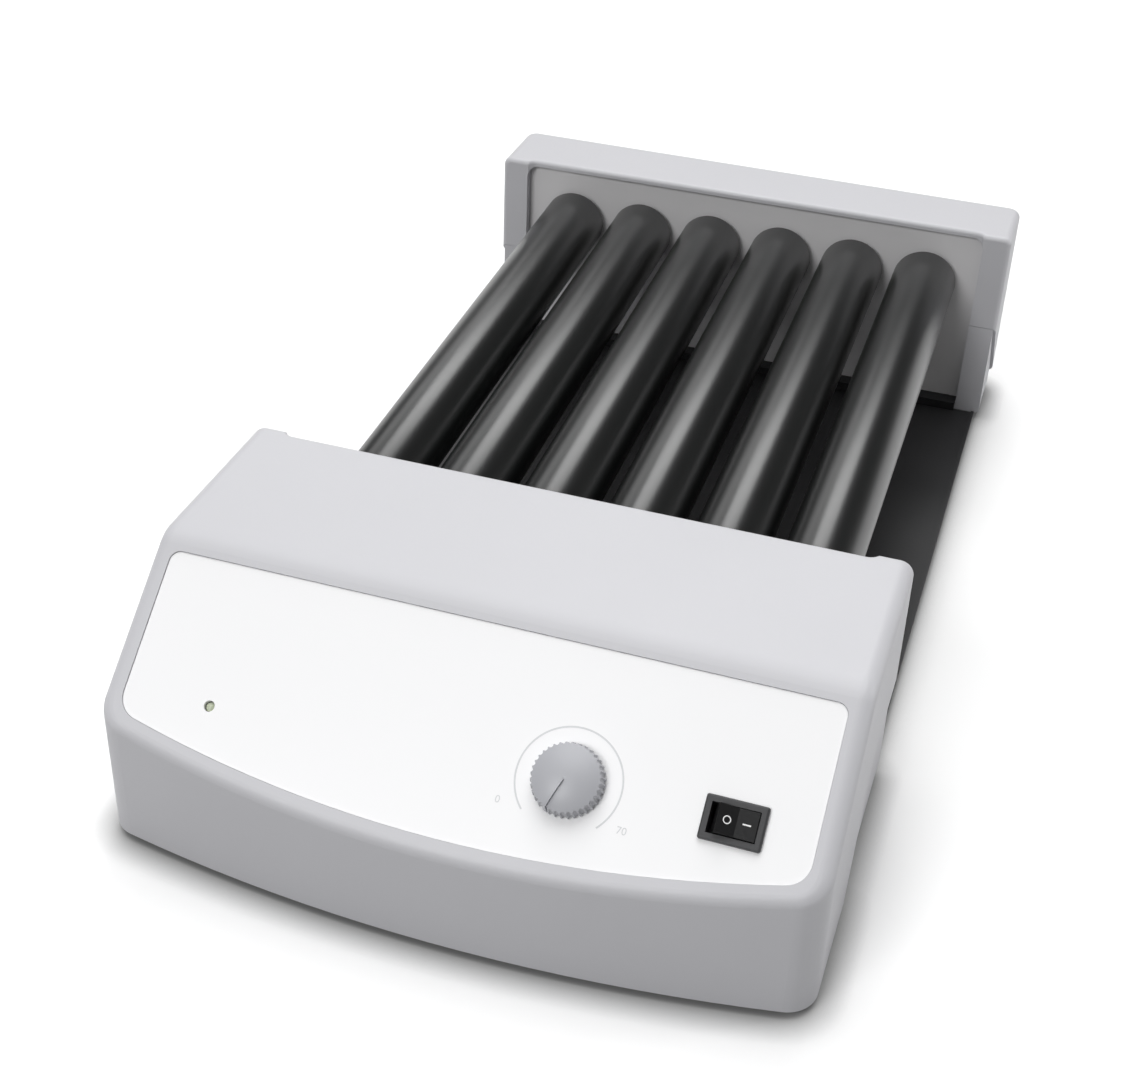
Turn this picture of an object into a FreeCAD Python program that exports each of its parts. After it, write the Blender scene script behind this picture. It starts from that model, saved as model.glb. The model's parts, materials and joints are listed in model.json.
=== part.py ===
import FreeCAD, Part
import math
import os
from FreeCAD import Placement, Rotation, Vector

# A six roller tube mixer, in millimetres: x to the right, y to the back, z up.
# The origin is on the floor, under the middle of the box round the whole machine.

# Housings
BED_LENGTH = 285.0  # between the ears of the front and the rear housing
FRONT_DEPTH = 145.5  # ear face to the middle of the bowed front
REAR_DEPTH = 40.5  # ear face to the back
HEIGHT = 100.5
SIDE_DRAFT = 0.4  # degrees by which the sides spread towards the floor
FOOT_HEIGHT = 3.8
COVER_WALL = 3.0
PANEL_WALL = 4.2  # cover wall under the sloped panel
TOP_DEPTH = 76.0  # flat top of the front cover, ear face to fold
PANEL_SLOPE = 38.35  # degrees below level
BOW_RADIUS = 640.0
CORNER_RADIUS = 12.0
REAR_CORNER_RADIUS = 6.0
FOLD_RADIUS = 14.0
EDGE_RADIUS = 5.5
REAR_EDGE_RADIUS = 3.5
EAR_THICKNESS = 5.0
EAR_EDGE_RADIUS = 2.2
EAR_WIDTH = 13.0  # at the top
EAR_CLEARANCE = 5.55  # outer rollers' widest swing to the ears
OPENING_CORNER = 5.0
RIM_SETBACK = 2.6  # top edge between the ears, behind the ear faces
RIM_RADIUS = 1.8
RIM_BEND_LEAD = 1.9  # centres of that edge's bends to the ears, past the ear faces

# Parting of covers and bases
FRONT_PART_Z = 48.0  # cover edge at the ears
FRONT_PART_FLAT = 48.0  # level length of that edge
FRONT_PART_END = 78.0  # from here forward the cover reaches down to its lower rim
REAR_PART_Z = 53.0
REAR_PART_BACK_Z = 7.0
PART_GAP = 0.2
BASE_INSET = 1.5  # base sides behind the cover sides
BASE_EDGE_RADIUS = 1.8  # lower outer edges
BASE_WALL = 3.0
BASE_FLOOR = 3.0
COVER_FIT = 0.4

# Chassis tray and end plates
CHASSIS_SIDE = 17.5  # tray to the housing's sides, where it runs into the housings
TRAY_SIDE = 3.0  # the same between the housings
TRAY_CLEARANCE = 2.5  # low part of the tray above the floor
CHASSIS_SHEET = 1.5
CHASSIS_LIP = 2.3  # sides of the low part, from its underside
CHASSIS_MARGIN = 6.0  # tray past the last foot that stands on it
PLATE_SHEET = 2.5
PLATE_LAP = 3.7  # plate edge behind each ear
PLATE_SEAT = 0.3  # play between a plate and the ears that hold it
PLATE_FOOT = 11.5
PLATE_FOOT_SIDE = 5.0  # foot ends to the tray's sides
TRAY_GAP = 1.0  # low part of the tray to the ear faces

# Rollers
ROLLER_COUNT = 6
ROLLER_PITCH = 36.6
ROLLER_DIAMETER = 31.0
ROLLER_DROP = 34.0  # turning axes below the top
ROCK_OFFSET = 4.75  # roller axis to turning axis at each end
END_GAP = 2.5
CORE_DIAMETER = 25.0
CORE_WALL = 2.0
PLUG_DEPTH = 15.0
JOURNAL_DIAMETER = 6.0
JOURNAL_ROOT = 10.0  # journal length held in the plug
JOURNAL_TAIL = 1.0  # journal length past its last seat
COLLAR_DIAMETER = 9.0
COLLAR_GAP = 0.3
BUSH_DIAMETER = 10.0
BUSH_FLANGE_DIAMETER = 14.0
BUSH_FLANGE = 1.2
RUNNING_FIT = 0.05  # radial play of a turning shaft
FIXED_FIT = 0.02  # radial play of a piece that is pressed or screwed in

# Gear train
ROLLER_TEETH = 20
IDLER_TEETH = 16
PRESSURE_ANGLE = 20.0
ADDENDUM = 0.9  # in modules
DEDENDUM = 1.25
BACKLASH = 0.12  # taken off each flank
GEAR_WIDTH = 6.0
GEAR_GAP = 0.5  # gear to bush flange
AXLE_DIAMETER = 5.0
AXLE_HEAD_DIAMETER = 8.0
AXLE_HEAD = 1.2
DRIVEN_ROLLER = 3  # counted from 0 at the left

# Motor
BRACKET_GAP = 4.0  # gears to bracket
BRACKET_SIDE = 6.5  # bracket past the gearbox
BRACKET_FOOT = 15.0
SHAFT_HOLE = 12.0
MOTOR_SHAFT_DIAMETER = 6.0
GEARBOX_DIAMETER = 37.0
GEARBOX_LENGTH = 22.0
MOTOR_DIAMETER = 34.0
MOTOR_LENGTH = 36.0
MOTOR_SCREWS = 4
MOTOR_SCREW_EDGE = 3.0  # screw axes inside the gearbox's rim
MOTOR_SCREW_DIAMETER = 3.0
MOTOR_SCREW_DEPTH = 5.0

# Screws and feet
SCREW_DIAMETER = 4.0
SCREW_HEAD_DIAMETER = 7.0
SCREW_HEAD = 1.8
SCREW_CLEARANCE = 0.25
SMALL_HEAD_DIAMETER = 5.5
SMALL_HEAD = 1.6
SCREW_TIP_GAP = 0.5  # frame screw tip above the underside of the base
FRAME_SCREWS = 4
FRAME_SCREW_EDGE = 13.0  # outer screws to the ends of the plate's foot
POST_DIAMETER = 9.0
POST_SCREW_DEPTH = 12.0
FRONT_POSTS = ((21.5, 81.5), (61.5, 19.5))  # from the housing's side, from the front
REAR_POSTS = ((11.5, 15.0),)  # from the housing's side, from the back
FOOT_DIAMETER = 16.0
FOOT_TAPER = 1.0
FRONT_FEET = ((35.5, 39.5),)
REAR_FEET = ((37.5, 15.0),)

# Front panel
PANEL_BORDER = 7.5  # at the sides
PANEL_TOP = 7.5  # fold to the panel's upper edge, along the slope
PANEL_LOW_BORDER = 5.7
PANEL_TOP_CORNER = 4.0
PANEL_LOW_CORNER = 9.0
PANEL_SHEET = 1.5
PANEL_RECESS = 0.6  # panel face below the border
PANEL_GAP = 0.12

# Controls, placed across the panel and up the slope from its lowest point
KNOB_X = 39.25  # from the middle
KNOB_UP = 29.3
KNOB_DIAMETER = 25.4  # at its foot
KNOB_TAPER = 0.7  # radius lost from foot to dome
KNOB_RIM = 4.9
KNOB_DOME = 2.8
KNOB_GAP = 0.6
KNOB_WALL = 2.4
KNOB_HOLLOW = 3.6
KNOB_FLUTES = 36
FLUTE_RADIUS = 0.85
FLUTE_DEPTH = 0.65
POINTER_WIDTH = 1.5  # at the rim
POINTER_TIP = 1.1  # its width at the inner end
POINTER_START = 1.0  # inner end from the axis
POINTER_RISE = 1.1
POINTER_ANGLE = -113.0  # at rest on the control's stop, 22 degrees before the lowest mark
POT_DIAMETER = 16.5
POT_DEPTH = 9.0
POT_THREAD = 7.0
POT_SHAFT = 6.0
POT_SHAFT_ROOT = 4.0  # shaft length inside the body
POT_NUT_WIDTH = 10.0
POT_NUT = 2.0
POT_NUT_SIDES = 6
THREAD_STAND = 1.0  # thread above its nut
CUT_CLEARANCE = 0.1
LED_SIDE = 32.3  # from the panel's left edge
LED_UP = 24.3
LED_DIAMETER = 3.8
LED_FLANGE = 1.0
LED_FLANGE_DIAMETER = 5.0
LED_RECESS = 0.5  # dome top below the panel face
LED_LEGS = 6.0
LED_LEG_WIDTH = 0.6
LED_LEG_SPACING = 1.6
SWITCH_SIDE = 27.4  # from the panel's right edge
SWITCH_UP = 28.9
SWITCH_WIDTH = 21.0
SWITCH_LENGTH = 15.0
SWITCH_FLANGE = 2.0
SWITCH_FLANGE_EDGE = 0.8
SWITCH_LIP = 1.1  # flange past the body
SWITCH_WALL = 1.2
SWITCH_BODY_DEPTH = 16.0
SWITCH_POCKET_DEPTH = 11.0
ROCKER_PLAY = 0.35  # rocker to the pocket's long sides
ROCKER_SWING = 1.5  # room at each end for its swing
ROCKER_TILT = 14.0  # degrees each way from level
ROCKER_RISE = 2.2  # rocker's outer top edges above the flange, when level
ROCKER_DIP = 1.1  # middle of its top below those edges
ROCKER_PIVOT = 3.6  # pivot below the flange's top
ROCKER_BELLY = 5.4  # lowest face below the pivot
ROCKER_HEEL = 4.7  # width of that face
TRUNNION_DIAMETER = 2.4
TRUNNION_GAP = 0.25  # trunnion end to the bottom of its hole
TRUNNION_REACH = 0.8  # into the pocket wall

# Mains inlet on the left side of the front base
INLET_Y = 31.0  # behind the ear face
INLET_Z = 22.0
INLET_WIDTH = 31.0
INLET_HEIGHT = 24.0
INLET_FLANGE = 1.4
INLET_FLANGE_CORNER = 2.0
INLET_LIP = 2.0  # flange past the body
INLET_WALL = 1.7
INLET_BODY_DEPTH = 20.0
INLET_CAVITY_DEPTH = 16.0
PIN_SPACING = 7.0  # outer pins from the middle
PIN_STAGGER = 2.0  # middle pin above, outer pins below the middle line
PIN_WIDTH = 2.0
PIN_HEIGHT = 4.0
PIN_SHORT = 2.0  # pin tips below the flange face
PIN_TAIL = 7.0  # pins behind the body

# Control board
BOARD_WIDTH = 76.0
BOARD_DEPTH = 44.0
BOARD_SHEET = 1.6
BOARD_SIDE_GAP = 13.8  # board to gearbox
BOARD_TRAY_GAP = 8.0  # board to the tray's front edge
BOARD_STAND = 9.0
STANDOFF_DIAMETER = 6.0
STANDOFF_EDGE = 5.0  # from the board's edges
STANDOFF_PEG = 2.8
PEG_RISE = 2.0
TRANSFORMER_SIZE = (24.0, 26.0, 20.0)
TERMINAL_SIZE = (22.0, 8.0, 10.0)
CAPACITORS = 2
CAPACITOR_DIAMETER = 10.0
CAPACITOR_HEIGHT = 16.0
COMPONENT_GAP = 4.0

# Places worked out from the sizes above
Y_FRONT = -(FRONT_DEPTH + BED_LENGTH + REAR_DEPTH) / 2 + FRONT_DEPTH
Y_REAR = Y_FRONT + BED_LENGTH
ROLLER_SPREAD = (ROLLER_COUNT - 1) * ROLLER_PITCH
OPENING_WIDTH = ROLLER_SPREAD + ROLLER_DIAMETER + 2 * ROCK_OFFSET + 2 * EAR_CLEARANCE
TOP_WIDTH = OPENING_WIDTH + 2 * EAR_WIDTH
ROLLER_AXIS_Z = HEIGHT - ROLLER_DROP
FLOOR_TOP = FOOT_HEIGHT + BASE_FLOOR
CHASSIS_TOP = FLOOR_TOP + CHASSIS_SHEET
PLATE_FACE = EAR_THICKNESS + PLATE_SEAT  # roller side of a plate, behind the ear face
PLATE_BACK = PLATE_FACE + PLATE_SHEET
GEAR_FACE = PLATE_BACK + BUSH_FLANGE + GEAR_GAP
BRACKET_FACE = GEAR_FACE + GEAR_WIDTH + BRACKET_GAP
BRACKET_WIDTH = GEARBOX_DIAMETER + 2 * BRACKET_SIDE
CHASSIS_WIDTH = TOP_WIDTH - 2 * CHASSIS_SIDE
TRAY_WIDTH = TOP_WIDTH - 2 * TRAY_SIDE
CHASSIS_FRONT_REACH = BRACKET_FACE + PLATE_SHEET + BRACKET_FOOT + CHASSIS_MARGIN
CHASSIS_REAR_REACH = PLATE_BACK + PLATE_FOOT + CHASSIS_MARGIN
PLATE_FOOT_WIDTH = CHASSIS_WIDTH - 2 * PLATE_FOOT_SIDE
OPENING_TOP = HEIGHT - COVER_WALL
ROLLER_XS = [i * ROLLER_PITCH - ROLLER_SPREAD / 2 for i in range(ROLLER_COUNT)]
IDLER_XS = [x + ROLLER_PITCH / 2 for x in ROLLER_XS[:-1]]
ROLLER_START = Y_FRONT - PLATE_FACE + END_GAP
ROLLER_END = Y_REAR + PLATE_FACE - END_GAP
ROLLER_LENGTH = ROLLER_END - ROLLER_START
ROLLER_LEAN = math.degrees(math.atan(2 * ROCK_OFFSET / ROLLER_LENGTH))
MODULE = ROLLER_PITCH / (ROLLER_TEETH + IDLER_TEETH)
MOTOR_X = ROLLER_XS[DRIVEN_ROLLER]
MOTOR_Z = ROLLER_AXIS_Z - ROLLER_PITCH / 2
BOARD_X = MOTOR_X - GEARBOX_DIAMETER / 2 - BOARD_SIDE_GAP - BOARD_WIDTH / 2
BOARD_U = CHASSIS_FRONT_REACH + BOARD_TRAY_GAP + BOARD_DEPTH / 2
PANEL_WIDTH = TOP_WIDTH - 2 * PANEL_BORDER
SLOPE_COSINE = math.cos(math.radians(PANEL_SLOPE))
SLOPE_SINE = math.sin(math.radians(PANEL_SLOPE))
PANEL_BOTTOM = (FRONT_DEPTH - TOP_DEPTH) / SLOPE_COSINE - PANEL_LOW_BORDER
PANEL_ARC = BOW_RADIUS * SLOPE_COSINE - PANEL_LOW_BORDER
KNOB_S = PANEL_BOTTOM - KNOB_UP  # below the fold, along the slope
KNOB_BORE = KNOB_RIM + KNOB_DOME / 2  # shaft hole, from the knob's foot
LED_X = LED_SIDE - PANEL_WIDTH / 2
LED_S = PANEL_BOTTOM - LED_UP
SWITCH_X = PANEL_WIDTH / 2 - SWITCH_SIDE
SWITCH_S = PANEL_BOTTOM - SWITCH_UP
SWITCH_BODY_WIDTH = SWITCH_WIDTH - 2 * SWITCH_LIP
SWITCH_BODY_LENGTH = SWITCH_LENGTH - 2 * SWITCH_LIP
SWITCH_POCKET_WIDTH = SWITCH_BODY_WIDTH - 2 * SWITCH_WALL
SWITCH_POCKET_LENGTH = SWITCH_BODY_LENGTH - 2 * SWITCH_WALL
ROCKER_WIDTH = SWITCH_POCKET_WIDTH - 2 * ROCKER_SWING
INLET_BODY_WIDTH = INLET_WIDTH - 2 * INLET_LIP
INLET_BODY_HEIGHT = INLET_HEIGHT - 2 * INLET_LIP
PANEL_FACE = -PANEL_RECESS
RECESS_FLOOR = -PANEL_RECESS - PANEL_SHEET
PAST = 1.0  # how far a cutter runs past what it cuts
SPAN = TOP_WIDTH + HEIGHT  # wider than either housing

AXIS_X = Vector(1, 0, 0)
AXIS_Y = Vector(0, 1, 0)
AXIS_Z = Vector(0, 0, 1)
ZERO = Vector(0, 0, 0)


# Shape helpers

def box(x0, x1, y0, y1, z0, z1):
    return Part.makeBox(x1 - x0, y1 - y0, z1 - z0, Vector(x0, y0, z0))


def rod(diameter, start, length, direction):
    return Part.makeCylinder(diameter / 2, length, start, direction)


def prism(points, direction):
    return Part.Face(Part.makePolygon(points + points[:1])).extrude(direction)


def prism_x(points, half):
    """A prism across the machine, from points in y and z."""
    return prism([Vector(-half, y, z) for y, z in points], AXIS_X * (2 * half))


def fuse(shapes):
    return shapes[0].multiFuse(shapes[1:]).removeSplitter()


def vertical_edges(shape, test):
    """Edges that stand upright and whose middle passes the test."""
    found = []
    for edge in shape.Edges:
        size = edge.BoundBox
        if size.ZLength > max(size.XLength, size.YLength) and test(size.Center):
            found.append(edge)
    return found


def face_normal(face):
    u0, u1, v0, v1 = face.ParameterRange
    return face.normalAt((u0 + u1) / 2, (v0 + v1) / 2)


def shared_edges(shape, first, second):
    """Edges between a face whose normal passes the first test and one that passes the second."""
    found = []
    others = [edge for face in shape.Faces if second(face_normal(face)) for edge in face.Edges]
    for face in shape.Faces:
        if first(face_normal(face)):
            found += [edge for edge in face.Edges if any(edge.isSame(other) for other in others)]
    return found


def is_roof(normal):
    return normal.z > 0.5


def is_wall(normal):
    return abs(normal.z) < 0.5 and normal.y < 0.9


def is_ear_face(normal):
    return normal.y > 0.99


def is_floor(normal):
    return normal.z < -0.9


def is_not_floor(normal):
    return normal.z > -0.5 and normal.y < 0.99


# Housing forms: each is drawn with its ear face at y = 0 and its depth towards -y.

def to_front(shape):
    return shape.translated(Vector(0, Y_FRONT, 0))


def to_rear(shape):
    return shape.rotated(ZERO, AXIS_Z, 180).translated(Vector(0, Y_REAR, 0))


def half_width(z, inset):
    return TOP_WIDTH / 2 - inset + (HEIGHT - z) * math.tan(math.radians(SIDE_DRAFT))


def wedge(inset, front, back, floor):
    """The space between the two spreading sides."""
    top = HEIGHT - inset
    low = half_width(floor, inset)
    high = half_width(top, inset)
    points = [(-low, floor), (low, floor), (high, top), (-high, top)]
    return prism([Vector(x, front, z) for x, z in points], AXIS_Y * (back - front))


def front_block(inset, slope_inset, floor, back):
    """The front housing's form, moved in by the insets."""
    top = HEIGHT - inset
    slope_y = -TOP_DEPTH + slope_inset * SLOPE_SINE
    slope_z = HEIGHT - slope_inset * SLOPE_COSINE
    fold = slope_y + (top - slope_z) * SLOPE_COSINE / SLOPE_SINE
    nose = -FRONT_DEPTH - PAST
    nose_z = slope_z + (nose - slope_y) * SLOPE_SINE / SLOPE_COSINE
    side_view = prism_x([(back, floor), (back, top), (fold, top), (nose, nose_z), (nose, floor)], SPAN)
    bow = rod(2 * (BOW_RADIUS - inset), Vector(0, BOW_RADIUS - FRONT_DEPTH, floor), top - floor, AXIS_Z)
    block = wedge(inset, nose, back, floor).common(side_view).common(bow)
    corners = vertical_edges(block, lambda middle: middle.y < -TOP_DEPTH)
    return block.makeFillet(CORNER_RADIUS - inset, corners)


def rear_block(inset, floor, back):
    """The rear housing's form, moved in by the inset."""
    block = wedge(inset, -REAR_DEPTH + inset, back, floor)
    corners = vertical_edges(block, lambda middle: middle.y < -REAR_DEPTH / 2)
    return block.makeFillet(REAR_CORNER_RADIUS - inset, corners)


def round_edges(block, radius):
    """Rounds the roof's outer edges, then the edges of the ear face."""
    block = block.makeFillet(radius, shared_edges(block, is_roof, is_wall))
    return block.makeFillet(EAR_EDGE_RADIUS, shared_edges(block, is_ear_face, is_not_floor))


def round_foot(block):
    """Rounds the lower outer edges of a base."""
    return block.makeFillet(BASE_EDGE_RADIUS, shared_edges(block, is_floor, is_not_floor))


def rim_cutter():
    """What is cut off past the set back top edge, which is rounded and bends out to the ears."""
    bend = RIM_SETBACK + RIM_BEND_LEAD
    turn = OPENING_WIDTH / 2 - bend
    low = OPENING_TOP - OPENING_CORNER
    high = HEIGHT + PAST
    face = -RIM_SETBACK
    crest = face - RIM_RADIUS
    half_turn = RIM_RADIUS * math.sqrt(0.5)
    middle = Vector(turn, crest + half_turn, HEIGHT - RIM_RADIUS + half_turn)
    arc = Part.Arc(Vector(turn, face, HEIGHT - RIM_RADIUS), middle, Vector(turn, crest, HEIGHT)).toShape()
    outline = [(crest, HEIGHT), (crest, high), (RIM_BEND_LEAD, high), (RIM_BEND_LEAD, low), (face, low)]
    outline.append((face, HEIGHT - RIM_RADIUS))
    lines = Part.makePolygon([Vector(turn, y, z) for y, z in outline])
    section = Part.Face(Part.Wire([arc] + lines.Edges))
    side = section.revolve(Vector(turn, RIM_BEND_LEAD, 0), AXIS_Z, 90)
    return [section.extrude(AXIS_X * (-2 * turn)), side, side.mirror(ZERO, AXIS_X)]


def ear_opening(floor):
    """What is cut out between the ears, with round upper corners, and past the top edge between them."""
    half = OPENING_WIDTH / 2
    opening = box(-half, half, -EAR_THICKNESS - PAST, PAST, floor, OPENING_TOP)
    corners = [edge for edge in opening.Edges if edge.BoundBox.YLength > EAR_THICKNESS]
    corners = [edge for edge in corners if edge.BoundBox.ZMin > floor + PAST]
    opening = opening.makeFillet(OPENING_CORNER, corners)
    return opening.multiFuse(rim_cutter())


def front_parting(gap):
    """The space of the front base, under the cover's stepped edge."""
    points = [(PAST, -PAST), (PAST, FRONT_PART_Z - gap), (-FRONT_PART_FLAT + gap, FRONT_PART_Z - gap)]
    points += [(-FRONT_PART_END + gap, FOOT_HEIGHT - gap), (-FRONT_PART_END + gap, -PAST)]
    return prism_x(points, SPAN)


def rear_parting(gap):
    points = [(PAST, -PAST), (PAST, REAR_PART_Z - gap), (-REAR_DEPTH, REAR_PART_BACK_Z - gap)]
    points += [(-REAR_DEPTH - PAST, REAR_PART_BACK_Z - gap), (-REAR_DEPTH - PAST, -PAST)]
    return prism_x(points, SPAN)


def both_sides(places, depth):
    """Places on the floor of a housing, given from its side and from its far end."""
    return [Vector(side * (TOP_WIDTH / 2 - x), y - depth, 0) for x, y in places for side in (-1, 1)]


def posts(places, room):
    """Screw posts from the base's floor up to the inside of the cover."""
    found = []
    for place in places:
        post = rod(POST_DIAMETER, place + AXIS_Z * FLOOR_TOP, HEIGHT, AXIS_Z).common(room)
        pilot = rod(SCREW_DIAMETER + 2 * FIXED_FIT, place, FLOOR_TOP + POST_SCREW_DEPTH + PAST, AXIS_Z)
        found.append(post.cut(pilot))
    return found


def cover(block, room, parting, post_places):
    shell = block.cut(room).cut(parting).cut(ear_opening(-PAST))
    return fuse([shell] + posts(post_places, room))


def base(skirt, room, deck, post_places, frame_screws):
    """A base: skirt and ears under the cover's edge, and a floor with its screw holes."""
    shell = fuse([skirt.cut(room).cut(ear_opening(FLOOR_TOP)), deck])
    holes = [rod(SCREW_DIAMETER + 2 * SCREW_CLEARANCE, place, HEIGHT, AXIS_Z) for place in post_places]
    holes += [rod(SCREW_DIAMETER + 2 * FIXED_FIT, place, HEIGHT, AXIS_Z) for place in frame_screws]
    return shell.cut(Part.makeCompound(holes))


# Panel frame: x across, y up the slope, z out of the panel, from the middle of the fold

def on_panel(shape):
    placed = shape.copy()
    turn = Rotation(AXIS_X, PANEL_SLOPE)
    placed.Placement = Placement(Vector(0, Y_FRONT - TOP_DEPTH, HEIGHT), turn).multiply(shape.Placement)
    return placed


def panel_prism(grow, low, high):
    """The panel's outline with its bowed lower edge, between two heights."""
    half = PANEL_WIDTH / 2 + grow
    radius = PANEL_ARC + grow
    top = -PANEL_TOP + grow
    centre = PANEL_ARC - PANEL_BOTTOM
    side = centre - math.sqrt(radius ** 2 - half ** 2)
    left, right = Vector(-half, side, low), Vector(half, side, low)
    upper_left, upper_right = Vector(-half, top, low), Vector(half, top, low)
    arc = Part.Arc(right, Vector(0, centre - radius, low), left).toShape()
    lines = [Part.makeLine(left, upper_left), Part.makeLine(upper_left, upper_right)]
    lines.append(Part.makeLine(upper_right, right))
    solid = Part.Face(Part.Wire([arc] + lines)).extrude(AXIS_Z * (high - low))
    middle = (top + side) / 2
    solid = solid.makeFillet(PANEL_TOP_CORNER + grow, vertical_edges(solid, lambda place: place.y > middle))
    return solid.makeFillet(PANEL_LOW_CORNER + grow, vertical_edges(solid, lambda place: place.y < middle))


def control_holes(low, high):
    """Holes for the speed control, the lamp and the switch."""
    tall = high - low
    pot = rod(POT_THREAD + 2 * CUT_CLEARANCE, Vector(KNOB_X, -KNOB_S, low), tall, AXIS_Z)
    led = rod(LED_DIAMETER + 2 * CUT_CLEARANCE, Vector(LED_X, -LED_S, low), tall, AXIS_Z)
    half_x = SWITCH_BODY_WIDTH / 2 + CUT_CLEARANCE
    half_y = SWITCH_BODY_LENGTH / 2 + CUT_CLEARANCE
    switch = box(SWITCH_X - half_x, SWITCH_X + half_x, -SWITCH_S - half_y, -SWITCH_S + half_y, low, high)
    return Part.makeCompound([pot, led, switch])


# Inlet frame: x to the front, y up the side, z out of the base's left side

def on_inlet(shape):
    lean = math.radians(SIDE_DRAFT)
    out = Vector(-math.cos(lean), 0, math.sin(lean))
    up = Vector(math.sin(lean), 0, math.cos(lean))
    place = Vector(-half_width(INLET_Z, BASE_INSET), Y_FRONT - INLET_Y, INLET_Z)
    placed = shape.copy()
    placed.Placement = Placement(place, Rotation(-AXIS_Y, up, out, "ZYX")).multiply(shape.Placement)
    return placed


def centred_box(width, height, low, high):
    return box(-width / 2, width / 2, -height / 2, height / 2, low, high)


# Housing pieces

def front_cover():
    block = front_block(0, 0, FOOT_HEIGHT, 0)
    fold = [edge for edge in block.Edges if edge.BoundBox.ZMin > HEIGHT - PAST]
    fold = [edge for edge in fold if edge.BoundBox.YMax < PAST - TOP_DEPTH]
    block = round_edges(block.makeFillet(FOLD_RADIUS, fold), EDGE_RADIUS)
    room = front_block(COVER_WALL, PANEL_WALL, -PAST, -EAR_THICKNESS)
    shell = to_front(cover(block, room, front_parting(0), both_sides(FRONT_POSTS, FRONT_DEPTH)))
    shell = shell.cut(on_panel(panel_prism(PANEL_GAP, RECESS_FLOOR, PAST)))
    return shell.cut(on_panel(control_holes(-PANEL_WALL - PAST, PAST)))


def rear_cover():
    block = round_edges(rear_block(0, FOOT_HEIGHT, 0), REAR_EDGE_RADIUS)
    room = rear_block(COVER_WALL, -PAST, -EAR_THICKNESS)
    return to_rear(cover(block, room, rear_parting(0), both_sides(REAR_POSTS, REAR_DEPTH)))


def frame_screw_places():
    """Screws through the foot of an end plate, in the housing's own frame."""
    outer = PLATE_FOOT_WIDTH / 2 - FRAME_SCREW_EDGE
    step = 2 * outer / (FRAME_SCREWS - 1)
    return [Vector(i * step - outer, -PLATE_BACK - PLATE_FOOT / 2, 0) for i in range(FRAME_SCREWS)]


def bracket_screw_places():
    reach = BRACKET_FACE + PLATE_SHEET + BRACKET_FOOT / 2
    return [Vector(MOTOR_X + side * (BRACKET_WIDTH / 2 - SCREW_HEAD_DIAMETER), -reach, 0) for side in (-1, 1)]


def front_base():
    skirt = round_foot(front_block(BASE_INSET, BASE_INSET, FOOT_HEIGHT, 0)).common(front_parting(PART_GAP))
    wall = BASE_INSET + BASE_WALL
    room = front_block(wall, wall, FLOOR_TOP, -EAR_THICKNESS)
    deck_inset = COVER_WALL + COVER_FIT
    deck = front_block(deck_inset, deck_inset, FOOT_HEIGHT, -EAR_THICKNESS)
    deck = deck.common(box(-SPAN, SPAN, -SPAN, PAST, FOOT_HEIGHT, FLOOR_TOP))
    screws = frame_screw_places() + bracket_screw_places()
    shell = to_front(base(skirt, room, deck, both_sides(FRONT_POSTS, FRONT_DEPTH), screws))
    hole = centred_box(INLET_BODY_WIDTH + 2 * CUT_CLEARANCE, INLET_BODY_HEIGHT + 2 * CUT_CLEARANCE,
                       -BASE_WALL - PAST, PAST)
    return shell.cut(on_inlet(hole))


def rear_base():
    skirt = round_foot(rear_block(BASE_INSET, FOOT_HEIGHT, 0)).common(rear_parting(PART_GAP))
    room = rear_block(BASE_INSET + BASE_WALL, FLOOR_TOP, -EAR_THICKNESS)
    deck = rear_block(COVER_WALL + COVER_FIT, FOOT_HEIGHT, -EAR_THICKNESS)
    deck = deck.common(box(-SPAN, SPAN, -SPAN, PAST, FOOT_HEIGHT, FLOOR_TOP))
    return to_rear(base(skirt, room, deck, both_sides(REAR_POSTS, REAR_DEPTH), frame_screw_places()))


def front_panel():
    sheet = panel_prism(0, RECESS_FLOOR, PANEL_FACE)
    return on_panel(sheet.cut(control_holes(RECESS_FLOOR - PAST, PAST)))


def clearance_holes(places):
    wide = SCREW_DIAMETER + 2 * SCREW_CLEARANCE
    return [rod(wide, place, CHASSIS_TOP + PLATE_SHEET + PAST, AXIS_Z) for place in places]


def end_plate(axle_xs):
    """A folded plate behind the ears, with its foot on the tray."""
    half = OPENING_WIDTH / 2 + PLATE_LAP
    foot_half = PLATE_FOOT_WIDTH / 2
    foot_end = -PLATE_BACK - PLATE_FOOT
    upright = box(-half, half, -PLATE_BACK, -PLATE_FACE, CHASSIS_TOP, OPENING_TOP - PLATE_SEAT)
    foot = box(-foot_half, foot_half, foot_end, -PLATE_BACK, CHASSIS_TOP, CHASSIS_TOP + PLATE_SHEET)
    holes = [rod(BUSH_DIAMETER + 2 * FIXED_FIT, Vector(x, -PLATE_BACK - PAST, ROLLER_AXIS_Z), HEIGHT, AXIS_Y)
             for x in ROLLER_XS]
    holes += [rod(AXLE_DIAMETER + 2 * FIXED_FIT, Vector(x, -PLATE_BACK - PAST, ROLLER_AXIS_Z), HEIGHT, AXIS_Y)
              for x in axle_xs]
    return fuse([upright, foot]).cut(Part.makeCompound(holes + clearance_holes(frame_screw_places())))


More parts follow.
